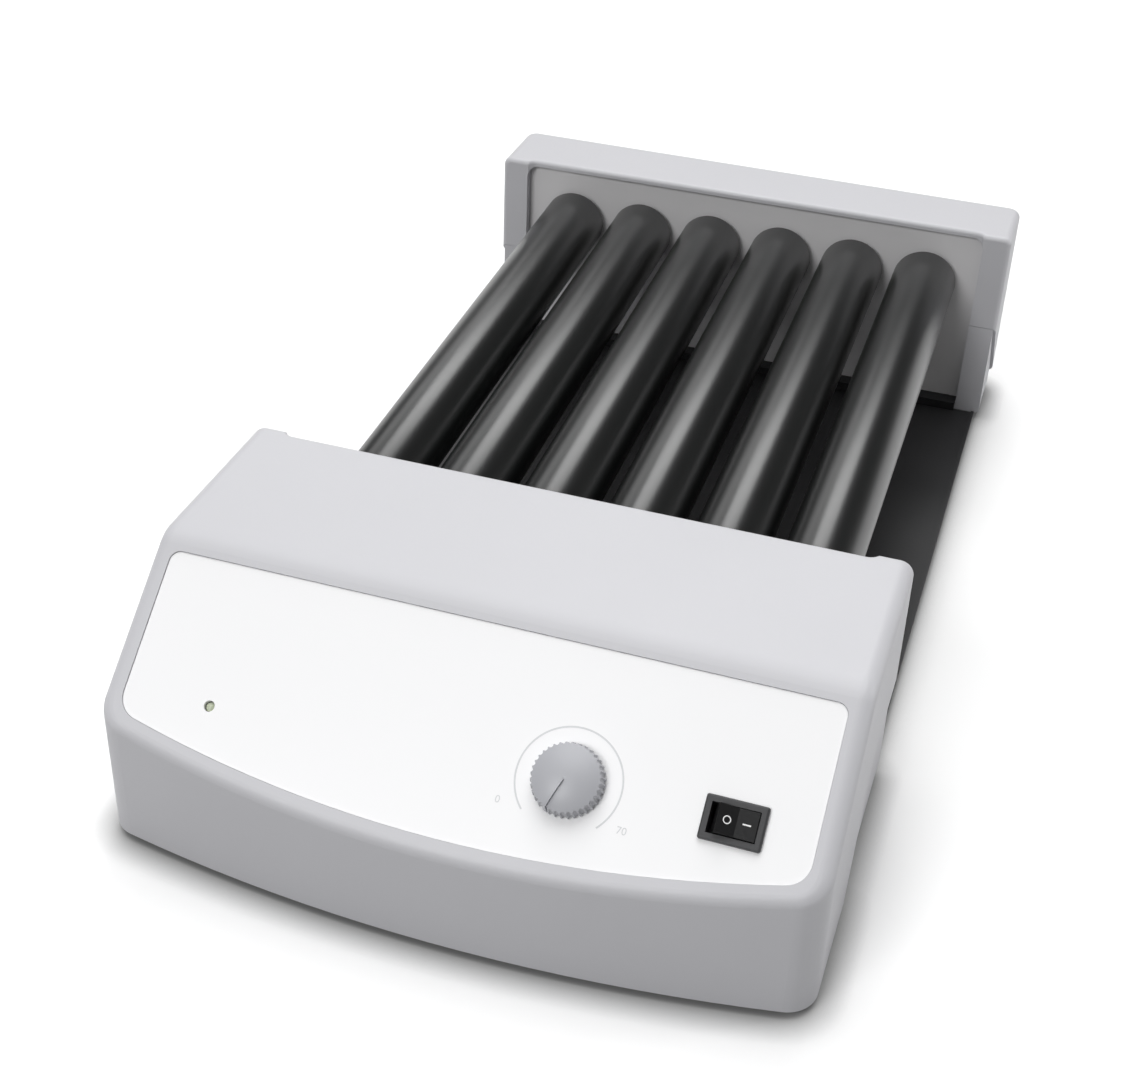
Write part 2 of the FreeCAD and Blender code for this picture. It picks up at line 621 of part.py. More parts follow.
def chassis_tray():
    """A low, wide pan between the housings, and at each end a step up to a shelf in the housing."""
    half = CHASSIS_WIDTH / 2
    step_half = OPENING_WIDTH / 2 - PLATE_SEAT
    wide = TRAY_WIDTH / 2
    low = TRAY_CLEARANCE
    start = Y_FRONT + TRAY_GAP
    end = Y_REAR - TRAY_GAP
    front = Y_FRONT - CHASSIS_FRONT_REACH
    back = Y_REAR + CHASSIS_REAR_REACH
    pieces = [box(-wide, wide, start, end, low, low + CHASSIS_SHEET)]
    for x in (-wide, wide - CHASSIS_SHEET):
        pieces.append(box(x, x + CHASSIS_SHEET, start, end, low, low + CHASSIS_LIP))
    for y in (start, end - CHASSIS_SHEET):
        pieces.append(box(-step_half, step_half, y, y + CHASSIS_SHEET, low, CHASSIS_TOP))
    for y in (Y_FRONT - EAR_THICKNESS, end):
        reach = EAR_THICKNESS + TRAY_GAP
        pieces.append(box(-step_half, step_half, y, y + reach, FLOOR_TOP, CHASSIS_TOP))
    pieces.append(box(-half, half, front, start, FLOOR_TOP, CHASSIS_TOP))
    pieces.append(box(-half, half, end, back, FLOOR_TOP, CHASSIS_TOP))
    holes = clearance_holes(frame_screw_places() + bracket_screw_places())
    tray = fuse(pieces).cut(to_front(Part.makeCompound(holes)))
    return tray.cut(to_rear(Part.makeCompound(clearance_holes(frame_screw_places()))))


# Rollers and their gears

def lean(shape, x):
    """Tips a roller piece, rear end up, about the middle of its turning axis."""
    middle = (ROLLER_START + ROLLER_END) / 2
    return shape.rotated(ZERO, AXIS_X, ROLLER_LEAN).translated(Vector(x, middle, ROLLER_AXIS_Z))


def pipe(outer, inner, length):
    start = Vector(0, -length / 2, 0)
    return rod(outer, start, length, AXIS_Y).cut(rod(inner, start, length, AXIS_Y))


def end_cap(x, toward, tail):
    """A plug in the roller's end with its journal on the turning axis."""
    end = ROLLER_START if toward.y < 0 else ROLLER_END
    plug_size = CORE_DIAMETER - 2 * CORE_WALL - 2 * FIXED_FIT
    plug = lean(rod(plug_size, toward * (ROLLER_LENGTH / 2), PLUG_DEPTH, -toward), x)
    face = Vector(x, end, ROLLER_AXIS_Z)
    journal = rod(JOURNAL_DIAMETER, face - toward * JOURNAL_ROOT, JOURNAL_ROOT + END_GAP + tail, toward)
    collar = rod(COLLAR_DIAMETER, face - toward * JOURNAL_ROOT, JOURNAL_ROOT + END_GAP - COLLAR_GAP, toward)
    return fuse([plug, collar, journal])


def gear(teeth, first, bore, x, z):
    """A spur gear with one tooth centred at the first angle, in radians from +x."""
    pitch = teeth * MODULE / 2
    tip = pitch + ADDENDUM * MODULE
    root = pitch - DEDENDUM * MODULE
    foot = max(root, pitch * math.cos(math.radians(PRESSURE_ANGLE)))

    def involute(radius):
        angle = math.acos(min(1.0, pitch * math.cos(math.radians(PRESSURE_ANGLE)) / radius))
        return math.tan(angle) - angle

    def half_tooth(radius):
        return math.pi / (2 * teeth) - BACKLASH / pitch + involute(pitch) - involute(radius)

    flank = [(root, half_tooth(foot))] + [(radius, half_tooth(radius)) for radius in (foot, pitch, tip)]
    outline = []
    for tooth in range(teeth):
        middle = first + 2 * math.pi * tooth / teeth
        outline += [(radius, middle - half) for radius, half in flank]
        outline += [(radius, middle + half) for radius, half in reversed(flank)]
    y = Y_FRONT - GEAR_FACE
    points = [Vector(x + r * math.cos(a), y, z + r * math.sin(a)) for r, a in outline]
    hole = rod(bore, Vector(x, y - GEAR_WIDTH, z), GEAR_WIDTH, AXIS_Y)
    return prism(points, -AXIS_Y * GEAR_WIDTH).cut(hole)


def roller_pieces(name, x):
    """One roller: rubber sleeve, core tube, end caps and drive gear."""
    core_bore = CORE_DIAMETER - 2 * CORE_WALL
    front_tail = GEAR_FACE + GEAR_WIDTH + JOURNAL_TAIL - PLATE_FACE
    rear_tail = PLATE_SHEET + BUSH_FLANGE + JOURNAL_TAIL
    caps = [end_cap(x, -AXIS_Y, front_tail), end_cap(x, AXIS_Y, rear_tail)]
    return {
        name + "_sleeve": lean(pipe(ROLLER_DIAMETER, CORE_DIAMETER + 2 * FIXED_FIT, ROLLER_LENGTH), x),
        name + "_core": lean(pipe(CORE_DIAMETER, core_bore, ROLLER_LENGTH), x),
        name + "_end_caps": Part.makeCompound(caps),
        name + "_gear": gear(ROLLER_TEETH, 0, JOURNAL_DIAMETER + 2 * FIXED_FIT, x, ROLLER_AXIS_Z),
    }


def bush(x):
    """A flanged bush in a plate, in the housing's own frame."""
    start = Vector(x, -PLATE_FACE, ROLLER_AXIS_Z)
    barrel = rod(BUSH_DIAMETER, start, PLATE_SHEET, -AXIS_Y)
    flange = rod(BUSH_FLANGE_DIAMETER, start - AXIS_Y * PLATE_SHEET, BUSH_FLANGE, -AXIS_Y)
    bore = rod(JOURNAL_DIAMETER + 2 * RUNNING_FIT, start + AXIS_Y, HEIGHT, -AXIS_Y)
    return fuse([barrel, flange]).cut(bore)


def roller_bushes():
    row = Part.makeCompound([bush(x) for x in ROLLER_XS])
    return Part.makeCompound(to_front(row).Solids + to_rear(row).Solids)


def idler_axles():
    axles = []
    for x in IDLER_XS:
        start = Vector(x, Y_FRONT - PLATE_FACE, ROLLER_AXIS_Z)
        reach = GEAR_FACE + GEAR_WIDTH + GEAR_GAP - PLATE_FACE
        pin = rod(AXLE_DIAMETER, start, reach, -AXIS_Y)
        head = rod(AXLE_HEAD_DIAMETER, start - AXIS_Y * reach, AXLE_HEAD, -AXIS_Y)
        shoulder_start = start - AXIS_Y * PLATE_SHEET
        shoulder = rod(AXLE_HEAD_DIAMETER, shoulder_start, GEAR_FACE - PLATE_BACK - GEAR_GAP, -AXIS_Y)
        axles.append(fuse([pin, head, shoulder]))
    return Part.makeCompound(axles)


def idler_gear(x):
    half_step = math.pi / IDLER_TEETH
    return gear(IDLER_TEETH, half_step, AXLE_DIAMETER + 2 * RUNNING_FIT, x, ROLLER_AXIS_Z)


# Motor

def motor_bracket():
    half = BRACKET_WIDTH / 2
    back = BRACKET_FACE + PLATE_SHEET
    top = MOTOR_Z + GEARBOX_DIAMETER / 2 + BRACKET_SIDE
    left = MOTOR_X - half
    right = MOTOR_X + half
    upright = box(left, right, -back, -BRACKET_FACE, CHASSIS_TOP, top)
    foot = box(left, right, -back - BRACKET_FOOT, -back, CHASSIS_TOP, CHASSIS_TOP + PLATE_SHEET)
    hole = rod(SHAFT_HOLE, Vector(MOTOR_X, -back - PAST, MOTOR_Z), HEIGHT, AXIS_Y)
    small = [rod(MOTOR_SCREW_DIAMETER + 2 * CUT_CLEARANCE, place - AXIS_Y * (back + PAST), HEIGHT, AXIS_Y)
             for place in motor_screw_places()]
    holes = [hole] + small + clearance_holes(bracket_screw_places())
    return to_front(fuse([upright, foot]).cut(Part.makeCompound(holes)))


def motor_screw_places():
    """Screws round the motor shaft, on the ear face of the housing's own frame."""
    reach = GEARBOX_DIAMETER / 2 - MOTOR_SCREW_EDGE
    angles = [2 * math.pi * (i + 0.5) / MOTOR_SCREWS for i in range(MOTOR_SCREWS)]
    return [Vector(MOTOR_X + reach * math.cos(a), 0, MOTOR_Z + reach * math.sin(a)) for a in angles]


def gear_motor():
    """Gearbox and motor can behind the bracket, with screw holes and a shaft bore."""
    start = Vector(MOTOR_X, -BRACKET_FACE - PLATE_SHEET, MOTOR_Z)
    gearbox = rod(GEARBOX_DIAMETER, start, GEARBOX_LENGTH, -AXIS_Y)
    can = rod(MOTOR_DIAMETER, start - AXIS_Y * GEARBOX_LENGTH, MOTOR_LENGTH, -AXIS_Y)
    bore = rod(MOTOR_SHAFT_DIAMETER + 2 * RUNNING_FIT, start, GEARBOX_LENGTH / 2, -AXIS_Y)
    tap = MOTOR_SCREW_DIAMETER + 2 * FIXED_FIT
    taps = [rod(tap, place + AXIS_Y * start.y, MOTOR_SCREW_DEPTH + PAST, -AXIS_Y)
            for place in motor_screw_places()]
    return to_front(fuse([gearbox, can]).cut(Part.makeCompound([bore] + taps)))


def motor_screws():
    face = -BRACKET_FACE
    screws = []
    for place in motor_screw_places():
        head = rod(SMALL_HEAD_DIAMETER, place + AXIS_Y * face, SMALL_HEAD, AXIS_Y)
        shank = rod(MOTOR_SCREW_DIAMETER, place + AXIS_Y * face, PLATE_SHEET + MOTOR_SCREW_DEPTH, -AXIS_Y)
        screws.append(fuse([head, shank]))
    return to_front(Part.makeCompound(screws))


def motor_shaft():
    back = BRACKET_FACE + PLATE_SHEET + GEARBOX_LENGTH / 2 - CUT_CLEARANCE
    return to_front(rod(MOTOR_SHAFT_DIAMETER, Vector(MOTOR_X, -back, MOTOR_Z), back - GEAR_FACE, AXIS_Y))


def motor_pinion():
    """The pinion under the driven roller's gear, with a gap between two teeth at its top."""
    first = math.pi / 2 + math.pi / IDLER_TEETH
    return gear(IDLER_TEETH, first, MOTOR_SHAFT_DIAMETER + 2 * FIXED_FIT, MOTOR_X, MOTOR_Z)


# Screws and feet

def pan_screw(top, length):
    """A screw that points down, with its head standing on the given place."""
    head = rod(SCREW_HEAD_DIAMETER, top, SCREW_HEAD, AXIS_Z)
    return fuse([head, rod(SCREW_DIAMETER, top, length, -AXIS_Z)])


def frame_screws():
    top = CHASSIS_TOP + PLATE_SHEET
    length = top - FOOT_HEIGHT - SCREW_TIP_GAP
    plate = Part.makeCompound([pan_screw(place + AXIS_Z * top, length) for place in frame_screw_places()])
    bracket = Part.makeCompound([pan_screw(place + AXIS_Z * top, length) for place in bracket_screw_places()])
    return Part.makeCompound(to_front(plate).Solids + to_front(bracket).Solids + to_rear(plate).Solids)


def cover_screws():
    screws = []
    for places, depth, move in ((FRONT_POSTS, FRONT_DEPTH, to_front), (REAR_POSTS, REAR_DEPTH, to_rear)):
        for place in both_sides(places, depth):
            start = place + AXIS_Z * FOOT_HEIGHT
            head = rod(SCREW_HEAD_DIAMETER, start, SCREW_HEAD, -AXIS_Z)
            shank = rod(SCREW_DIAMETER, start, BASE_FLOOR + POST_SCREW_DEPTH, AXIS_Z)
            screws.append(move(fuse([head, shank])))
    return Part.makeCompound(screws)


def rubber_feet():
    feet = []
    radius = FOOT_DIAMETER / 2
    for places, depth, move in ((FRONT_FEET, FRONT_DEPTH, to_front), (REAR_FEET, REAR_DEPTH, to_rear)):
        for place in both_sides(places, depth):
            feet.append(move(Part.makeCone(radius - FOOT_TAPER, radius, FOOT_HEIGHT, place, AXIS_Z)))
    return Part.makeCompound(feet)


# Speed control

def at_knob(height):
    return Vector(KNOB_X, -KNOB_S, height)


def potentiometer_body():
    low = -PANEL_WALL - POT_DEPTH
    thread_top = PANEL_FACE + POT_NUT + THREAD_STAND
    can = rod(POT_DIAMETER, at_knob(low), POT_DEPTH, AXIS_Z)
    thread = rod(POT_THREAD, at_knob(low), thread_top - low, AXIS_Z)
    root = -PANEL_WALL - POT_SHAFT_ROOT
    bore = rod(POT_SHAFT + 2 * RUNNING_FIT, at_knob(root), thread_top - root, AXIS_Z)
    return on_panel(fuse([can, thread]).cut(bore))


def potentiometer_nut():
    radius = POT_NUT_WIDTH / 2 / math.cos(math.pi / POT_NUT_SIDES)
    corners = [at_knob(PANEL_FACE) + Vector(radius * math.cos(a), radius * math.sin(a), 0)
               for a in [2 * math.pi * i / POT_NUT_SIDES for i in range(POT_NUT_SIDES)]]
    hole = rod(POT_THREAD + 2 * FIXED_FIT, at_knob(PANEL_FACE), POT_NUT, AXIS_Z)
    return on_panel(prism(corners, AXIS_Z * POT_NUT).cut(hole))


def potentiometer_shaft():
    low = -PANEL_WALL - POT_SHAFT_ROOT + CUT_CLEARANCE
    top = PANEL_FACE + KNOB_GAP + KNOB_BORE
    return on_panel(rod(POT_SHAFT, at_knob(low), top - low, AXIS_Z))


def speed_knob():
    """A fluted, domed, slightly tapered knob with a raised pointer, hollow below round the nut."""
    low = PANEL_FACE + KNOB_GAP
    radius = KNOB_DIAMETER / 2
    edge = radius - KNOB_TAPER
    dome = (edge ** 2 + KNOB_DOME ** 2) / (2 * KNOB_DOME)
    crown = low + KNOB_RIM + KNOB_DOME
    middle = at_knob(crown - dome)
    tall = KNOB_RIM + KNOB_DOME + POINTER_RISE
    cone = Part.makeCone(radius, radius - KNOB_TAPER * tall / KNOB_RIM, tall, at_knob(low), AXIS_Z)
    body = cone.common(Part.makeSphere(dome, middle))
    flutes = []
    for i in range(KNOB_FLUTES):
        angle = 2 * math.pi * i / KNOB_FLUTES
        outward = Vector(math.cos(angle), math.sin(angle), 0)
        along = AXIS_Z * KNOB_RIM - outward * KNOB_TAPER
        along.normalize()
        place = at_knob(low) + outward * (radius - FLUTE_DEPTH + FLUTE_RADIUS)
        flutes.append(rod(2 * FLUTE_RADIUS, place - along * PAST, tall + 2 * PAST, along))
    body = body.cut(Part.makeCompound(flutes))
    tip, end = POINTER_TIP / 2, POINTER_WIDTH / 2
    plan = [(POINTER_START, -tip), (radius, -end), (radius, end), (POINTER_START, tip)]
    ridge = prism([Vector(x, y, low) for x, y in plan], AXIS_Z * tall)
    ridge = ridge.rotated(ZERO, AXIS_Z, POINTER_ANGLE).translated(at_knob(0))
    ridge = ridge.common(cone).common(Part.makeSphere(dome + POINTER_RISE, middle))
    hollow = rod(KNOB_DIAMETER - 2 * KNOB_WALL, at_knob(low), KNOB_HOLLOW, AXIS_Z)
    bore = rod(POT_SHAFT + 2 * FIXED_FIT, at_knob(low), KNOB_BORE, AXIS_Z)
    return on_panel(fuse([body, ridge]).cut(hollow).cut(bore))


# Lamp and switch

def power_led():
    low = -PANEL_WALL - LED_FLANGE
    tip = PANEL_FACE - LED_RECESS
    spot = Vector(LED_X, -LED_S, 0)
    radius = LED_DIAMETER / 2
    stem = rod(LED_DIAMETER, spot + AXIS_Z * low, tip - radius - low, AXIS_Z)
    dome = Part.makeSphere(radius, spot + AXIS_Z * (tip - radius))
    flange = rod(LED_FLANGE_DIAMETER, spot + AXIS_Z * low, LED_FLANGE, AXIS_Z)
    leg = centred_box(LED_LEG_WIDTH, LED_LEG_WIDTH, low - LED_LEGS, low).translated(spot)
    legs = [leg.translated(AXIS_X * side * LED_LEG_SPACING / 2) for side in (-1, 1)]
    return on_panel(fuse([stem, dome, flange] + legs))


def switch_top():
    return PANEL_FACE + SWITCH_FLANGE


def at_switch(shape):
    return on_panel(shape.translated(Vector(SWITCH_X, -SWITCH_S, 0)))


def switch_housing():
    top = switch_top()
    low = PANEL_FACE - SWITCH_BODY_DEPTH
    flange = centred_box(SWITCH_WIDTH, SWITCH_LENGTH, PANEL_FACE, top)
    upper = [edge for edge in flange.Edges if edge.BoundBox.ZMin > top - SWITCH_FLANGE / 2]
    flange = flange.makeFillet(SWITCH_FLANGE_EDGE, upper + vertical_edges(flange, lambda middle: True))
    body = centred_box(SWITCH_BODY_WIDTH, SWITCH_BODY_LENGTH, low, PANEL_FACE)
    pocket = centred_box(SWITCH_POCKET_WIDTH, SWITCH_POCKET_LENGTH, top - SWITCH_POCKET_DEPTH, top + PAST)
    reach = SWITCH_POCKET_LENGTH / 2 + TRUNNION_REACH
    seat = rod(TRUNNION_DIAMETER + 2 * RUNNING_FIT, Vector(0, -reach, top - ROCKER_PIVOT), 2 * reach, AXIS_Y)
    return at_switch(fuse([flange, body]).cut(pocket).cut(seat))


def power_rocker():
    """A rocker with a dished top on two trunnions, its right end pressed in."""
    half = ROCKER_WIDTH / 2
    heel = ROCKER_HEEL / 2
    length = SWITCH_POCKET_LENGTH - 2 * ROCKER_PLAY
    edge = ROCKER_PIVOT + ROCKER_RISE
    outline = [(-half, edge), (0, edge - ROCKER_DIP), (half, edge), (half, -ROCKER_BELLY / 2)]
    outline += [(heel, -ROCKER_BELLY), (-heel, -ROCKER_BELLY), (-half, -ROCKER_BELLY / 2)]
    block = prism([Vector(x, -length / 2, z) for x, z in outline], AXIS_Y * length)
    reach = SWITCH_POCKET_LENGTH / 2 + TRUNNION_REACH - TRUNNION_GAP
    trunnions = rod(TRUNNION_DIAMETER, Vector(0, -reach, 0), 2 * reach, AXIS_Y)
    tipped = fuse([block, trunnions]).rotated(ZERO, AXIS_Y, ROCKER_TILT)
    return at_switch(tipped.translated(AXIS_Z * (switch_top() - ROCKER_PIVOT)))


# Inlet and control board

def inlet_socket():
    flange = centred_box(INLET_WIDTH, INLET_HEIGHT, 0, INLET_FLANGE)
    corners = [edge for edge in flange.Edges if edge.BoundBox.ZLength > INLET_FLANGE / 2]
    flange = flange.makeFillet(INLET_FLANGE_CORNER, corners)
    body = centred_box(INLET_BODY_WIDTH, INLET_BODY_HEIGHT, -INLET_BODY_DEPTH, 0)
    cavity = centred_box(INLET_BODY_WIDTH - 2 * INLET_WALL, INLET_BODY_HEIGHT - 2 * INLET_WALL,
                         INLET_FLANGE - INLET_CAVITY_DEPTH, INLET_FLANGE + PAST)
    slots = [pin_box(x, y, FIXED_FIT, -INLET_BODY_DEPTH - PAST) for x, y in pin_places()]
    return on_inlet(fuse([flange, body]).cut(cavity).cut(Part.makeCompound(slots)))


def pin_places():
    return [(-PIN_SPACING, -PIN_STAGGER), (0, PIN_STAGGER), (PIN_SPACING, -PIN_STAGGER)]


def pin_box(x, y, play, low):
    pin = centred_box(PIN_WIDTH + 2 * play, PIN_HEIGHT + 2 * play, low, INLET_FLANGE - PIN_SHORT)
    return pin.translated(Vector(x, y, 0))


def inlet_pins():
    pins = [pin_box(x, y, 0, -INLET_BODY_DEPTH - PIN_TAIL) for x, y in pin_places()]
    return on_inlet(Part.makeCompound(pins))


def standoff_places():
    half_x = BOARD_WIDTH / 2 - STANDOFF_EDGE
    half_y = BOARD_DEPTH / 2 - STANDOFF_EDGE
    return [Vector(BOARD_X + i * half_x, -BOARD_U + j * half_y, 0) for i in (-1, 1) for j in (-1, 1)]


def board_standoffs():
    pieces = []
    for place in standoff_places():
        post = rod(STANDOFF_DIAMETER, place + AXIS_Z * FLOOR_TOP, BOARD_STAND, AXIS_Z)
        peg = rod(STANDOFF_PEG, place + AXIS_Z * FLOOR_TOP, BOARD_STAND + BOARD_SHEET + PEG_RISE, AXIS_Z)
        pieces.append(fuse([post, peg]))
    return to_front(Part.makeCompound(pieces))


def control_board():
    low = FLOOR_TOP + BOARD_STAND
    board = centred_box(BOARD_WIDTH, BOARD_DEPTH, low, low + BOARD_SHEET)
    board = board.translated(Vector(BOARD_X, -BOARD_U, 0))
    holes = [rod(STANDOFF_PEG + 2 * FIXED_FIT, place, HEIGHT, AXIS_Z) for place in standoff_places()]
    return to_front(board.cut(Part.makeCompound(holes)))


def board_components():
    """Transformer, smoothing capacitors and a terminal strip, standing on the board."""
    start = Vector(BOARD_X, -BOARD_U, FLOOR_TOP + BOARD_STAND + BOARD_SHEET)
    transformer = Part.makeBox(*TRANSFORMER_SIZE)
    transformer.translate(start - Vector(TRANSFORMER_SIZE[0] + COMPONENT_GAP / 2, TRANSFORMER_SIZE[1] / 2, 0))
    strip = Part.makeBox(*TERMINAL_SIZE)
    strip.translate(start + Vector(COMPONENT_GAP / 2, -TERMINAL_SIZE[1] - COMPONENT_GAP / 2, 0))
    reach = (CAPACITOR_DIAMETER + COMPONENT_GAP) / 2
    step = CAPACITOR_DIAMETER + COMPONENT_GAP
    spots = [start + Vector(reach + i * step, reach, 0) for i in range(CAPACITORS)]
    capacitors = [rod(CAPACITOR_DIAMETER, spot, CAPACITOR_HEIGHT, AXIS_Z) for spot in spots]
    return to_front(Part.makeCompound([transformer, strip] + capacitors))


def all_pieces():
    pieces = {
        "front_cover": front_cover(),
        "front_base": front_base(),
        "front_panel": front_panel(),
        "front_end_plate": to_front(end_plate(IDLER_XS)),
        "rear_cover": rear_cover(),
        "rear_base": rear_base(),
        "rear_end_plate": to_rear(end_plate([])),
        "chassis_tray": chassis_tray(),
        "roller_bushes": roller_bushes(),
        "idler_axles": idler_axles(),
        "motor_bracket": motor_bracket(),
        "gear_motor": gear_motor(),
        "motor_screws": motor_screws(),
        "motor_shaft": motor_shaft(),
        "motor_pinion": motor_pinion(),
        "frame_screws": frame_screws(),
        "cover_screws": cover_screws(),
        "rubber_feet": rubber_feet(),
        "potentiometer_body": potentiometer_body(),
        "potentiometer_nut": potentiometer_nut(),
        "potentiometer_shaft": potentiometer_shaft(),
        "speed_knob": speed_knob(),
        "power_led": power_led(),
        "switch_housing": switch_housing(),
        "power_rocker": power_rocker(),
        "inlet_socket": inlet_socket(),
        "inlet_pins": inlet_pins(),
        "board_standoffs": board_standoffs(),
        "control_board": control_board(),
        "board_components": board_components(),
    }
    for number, x in enumerate(ROLLER_XS, 1):
        pieces.update(roller_pieces("roller_%d" % number, x))
    for number, x in enumerate(IDLER_XS, 1):
        pieces["idler_gear_%d" % number] = idler_gear(x)
    return pieces


os.makedirs("parts", exist_ok=True)
for name, shape in all_pieces().items():
    shape.exportStep("parts/%s.step" % name)
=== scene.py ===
import json
import math
import bmesh
import bpy
from mathutils import Matrix, Vector


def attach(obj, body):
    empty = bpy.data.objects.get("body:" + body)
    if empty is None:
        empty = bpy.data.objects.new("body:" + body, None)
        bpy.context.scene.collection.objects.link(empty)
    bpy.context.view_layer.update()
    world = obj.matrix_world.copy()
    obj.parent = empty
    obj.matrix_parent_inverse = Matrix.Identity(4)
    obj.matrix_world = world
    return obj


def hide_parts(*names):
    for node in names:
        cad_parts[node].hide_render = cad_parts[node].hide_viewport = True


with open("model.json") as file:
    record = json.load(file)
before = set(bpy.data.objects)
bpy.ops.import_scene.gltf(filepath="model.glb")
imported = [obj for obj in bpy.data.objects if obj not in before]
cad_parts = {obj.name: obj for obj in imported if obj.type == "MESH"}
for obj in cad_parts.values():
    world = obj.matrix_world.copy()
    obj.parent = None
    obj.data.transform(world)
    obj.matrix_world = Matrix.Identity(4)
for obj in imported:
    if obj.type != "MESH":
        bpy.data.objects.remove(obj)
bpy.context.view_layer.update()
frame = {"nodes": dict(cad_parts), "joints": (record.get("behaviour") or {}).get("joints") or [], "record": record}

# Sizes of the pieces, in millimetres, and the steps of their round shapes
MM = 0.001
ROLLERS = 6
ROLLER_LENGTH = 290.6
ROLLER_DIAMETER = 31.0
SLEEVE_BORE = 25.04
ROLLER_LEAN = 1.8724  # degrees, rear end up at rest
SLEEVE_END_ROUNDING = 1.0
SLEEVE_STEPS = 128  # round the roller
ROUNDING_STEPS = 4
PANEL_RECESS = 0.6  # panel face below the plane through the knob's joint
ROCKER_EDGE = 5.8  # outer top edges of the rocker above its pivot
ROCKER_DIP = 1.1
ROCKER_HALF = 6.7
ROCKER_TILT = 14.0  # degrees, right end pressed in at rest
FOOT_HEIGHT = 3.8
FOOT_STEPS = 48
FOOT_OUTLINE = (  # radius and height, from the floor up
    (0, 1.6), (2.8, 1.6), (3.0, 1.4), (3.0, 0.3), (3.3, 0.0), (6.5, 0.0),
    (6.9, 0.15), (7.05, 0.45), (7.85, 3.4), (8.0, 3.8), (0, 3.8))
FOOT_PLACES = ((-94.8, -196.0), (94.8, -196.0), (-92.8, 220.5), (92.8, 220.5))
SCREW_HEAD = 1.8
SCREW_STEPS = 32
SCREW_OUTLINE = (  # radius and height from the head's seat, shank up
    (0, -1.8), (1.6, -1.77), (2.5, -1.6), (3.1, -1.25), (3.4, -0.8), (3.5, -0.3),
    (3.5, 0.0), (2.0, 0.0), (2.0, 14.2), (1.2, 15.0), (0, 15.0))
SCREW_PLACES = ((-108.8, -154.0), (108.8, -154.0), (-68.8, -216.0), (68.8, -216.0),
                (-118.8, 220.5), (118.8, 220.5))
TURN_SEED = 11  # of the angles at which the screws' crosses came to rest
RECESS = (4.2, 0.95)  # length and width of each arm of a screw's cross
RECESS_DEPTH = 1.1
CUT_PAST = 1.0  # how far the cutter stands out of the head

# Print on the panel and marks on the rocker, in millimetres and degrees
DIAL_RADIUS = 18.2
DIAL_LINE = 0.62
DIAL_START = -135.4
DIAL_END = -404.8
DIAL_STEPS = 96
NUMBER_HEIGHT = 3.6
LOW_NUMBER = ("0", -21.6, -11.6)  # text, and its middle from the knob
HIGH_NUMBER = ("70", 21.3, -11.8)
INK = 0.04
MARK_RING = (1.4, 1.04)  # outer and inner radius of the O
MARK_STEPS = 40
MARK_BAR = (2.75, 0.5)  # length and width of the I
LOW_MARK_X = -3.3
HIGH_MARK_X = 3.3

# Patterns of the finishes, widths and depths in millimetres
NOISE_LOW = 0.3  # nearly all of a noise pattern lies between these two values
NOISE_HIGH = 0.7
CLOUD_DETAIL = 2.0  # finer octaves in a noise pattern
GRAIN_DETAIL = 3.0
PEEL_DETAIL = 1.0
RING_DETAIL = 2.0
PLASTIC_CLOUD = 60.0  # widths of the faint changes of tone
PAINT_CLOUD = 45.0
RUBBER_CLOUD = 30.0
LENS_CLOUD = 1.5
INK_CLOUD = 0.8
METAL_LINE_DEPTH = 0.01
RING_STRETCH = (0.06, 1.0, 0.06)  # draws the pattern out round the roller
TRACK_SPACING = 4.0
TRACK_EDGE = (0.06, 0.1)  # from a track's middle, where it starts to fade and where it is gone
TRACK_HEIGHT = 0.03

# Camera of the photograph
PHOTO_WIDTH = 1130.0
FOCAL_PIXELS = 1798.84
SENSOR = 36.0
NEAREST = 0.01  # metres in front of the camera
CAMERA_PLACE = (0.16537, -0.63096, 0.46959)  # metres
CAMERA_FORWARD = Vector((-0.24185, 0.78426, -0.57135))
CAMERA_RIGHT = Vector((0.94847, 0.31532, 0.03134))

# Backdrop and floor
SKY_LEVEL = 0.2
CEILING_LEVEL = 0.05
WHITE_TO = 1.5  # degrees above the horizon that the backdrop stays white
DIM_FROM = 8.0  # degrees above the horizon where the dim ceiling starts
FLOOR_HALF = 6.0  # metres
FLOOR_WHITE = "#F8F8F8"
FLOOR_BOUNCE = "#8A8A8A"  # what the floor throws back on the object
FLOOR_PAINTED_SHADOW = "#707070"  # painted shadow on the floor, close under the object
FLOOR_GLOW = 0.1  # share of the floor's white that needs no lamp
PAINTED_SHADOW_REACH = 13.0  # millimetres that the painted shadow under the object spreads over the floor
PAINTED_SHADOW_FALL = 1.8  # how fast that painted shadow deepens towards the object


# Node and colour helpers

def linear(hex_colour):
    """An sRGB hex colour as linear red, green, blue and alpha."""
    parts = [int(hex_colour[i:i + 2], 16) / 255 for i in (1, 3, 5)]
    return [c / 12.92 if c <= 0.04045 else ((c + 0.055) / 1.055) ** 2.4 for c in parts] + [1.0]


def per_metre(width):
    """Texture scale for a pattern whose features are this many millimetres wide."""
    return 1.0 / (width * MM)


def add(tree, kind, inputs=None, **settings):
    """Adds one node with its settings, and sets or links its sockets by name or identifier."""
    node = tree.nodes.new(kind)
    for name, value in settings.items():
        setattr(node, name, value)
    for name, value in (inputs or {}).items():
        socket = next(s for s in node.inputs if s.enabled and name in (s.identifier, s.name))
        if isinstance(value, bpy.types.Node):
            value = next(s for s in value.outputs if s.enabled)
        if isinstance(value, bpy.types.NodeSocket):
            tree.links.new(value, socket)
        else:
            socket.default_value = value
    return node


def new_material(name, colour):
    """A material with an empty node tree, and that tree. The colour is the viewport's."""
    made = bpy.data.materials.new(name)
    made.use_nodes = True
    made.diffuse_color = linear(colour)
    made.node_tree.nodes.clear()
    return made, made.node_tree


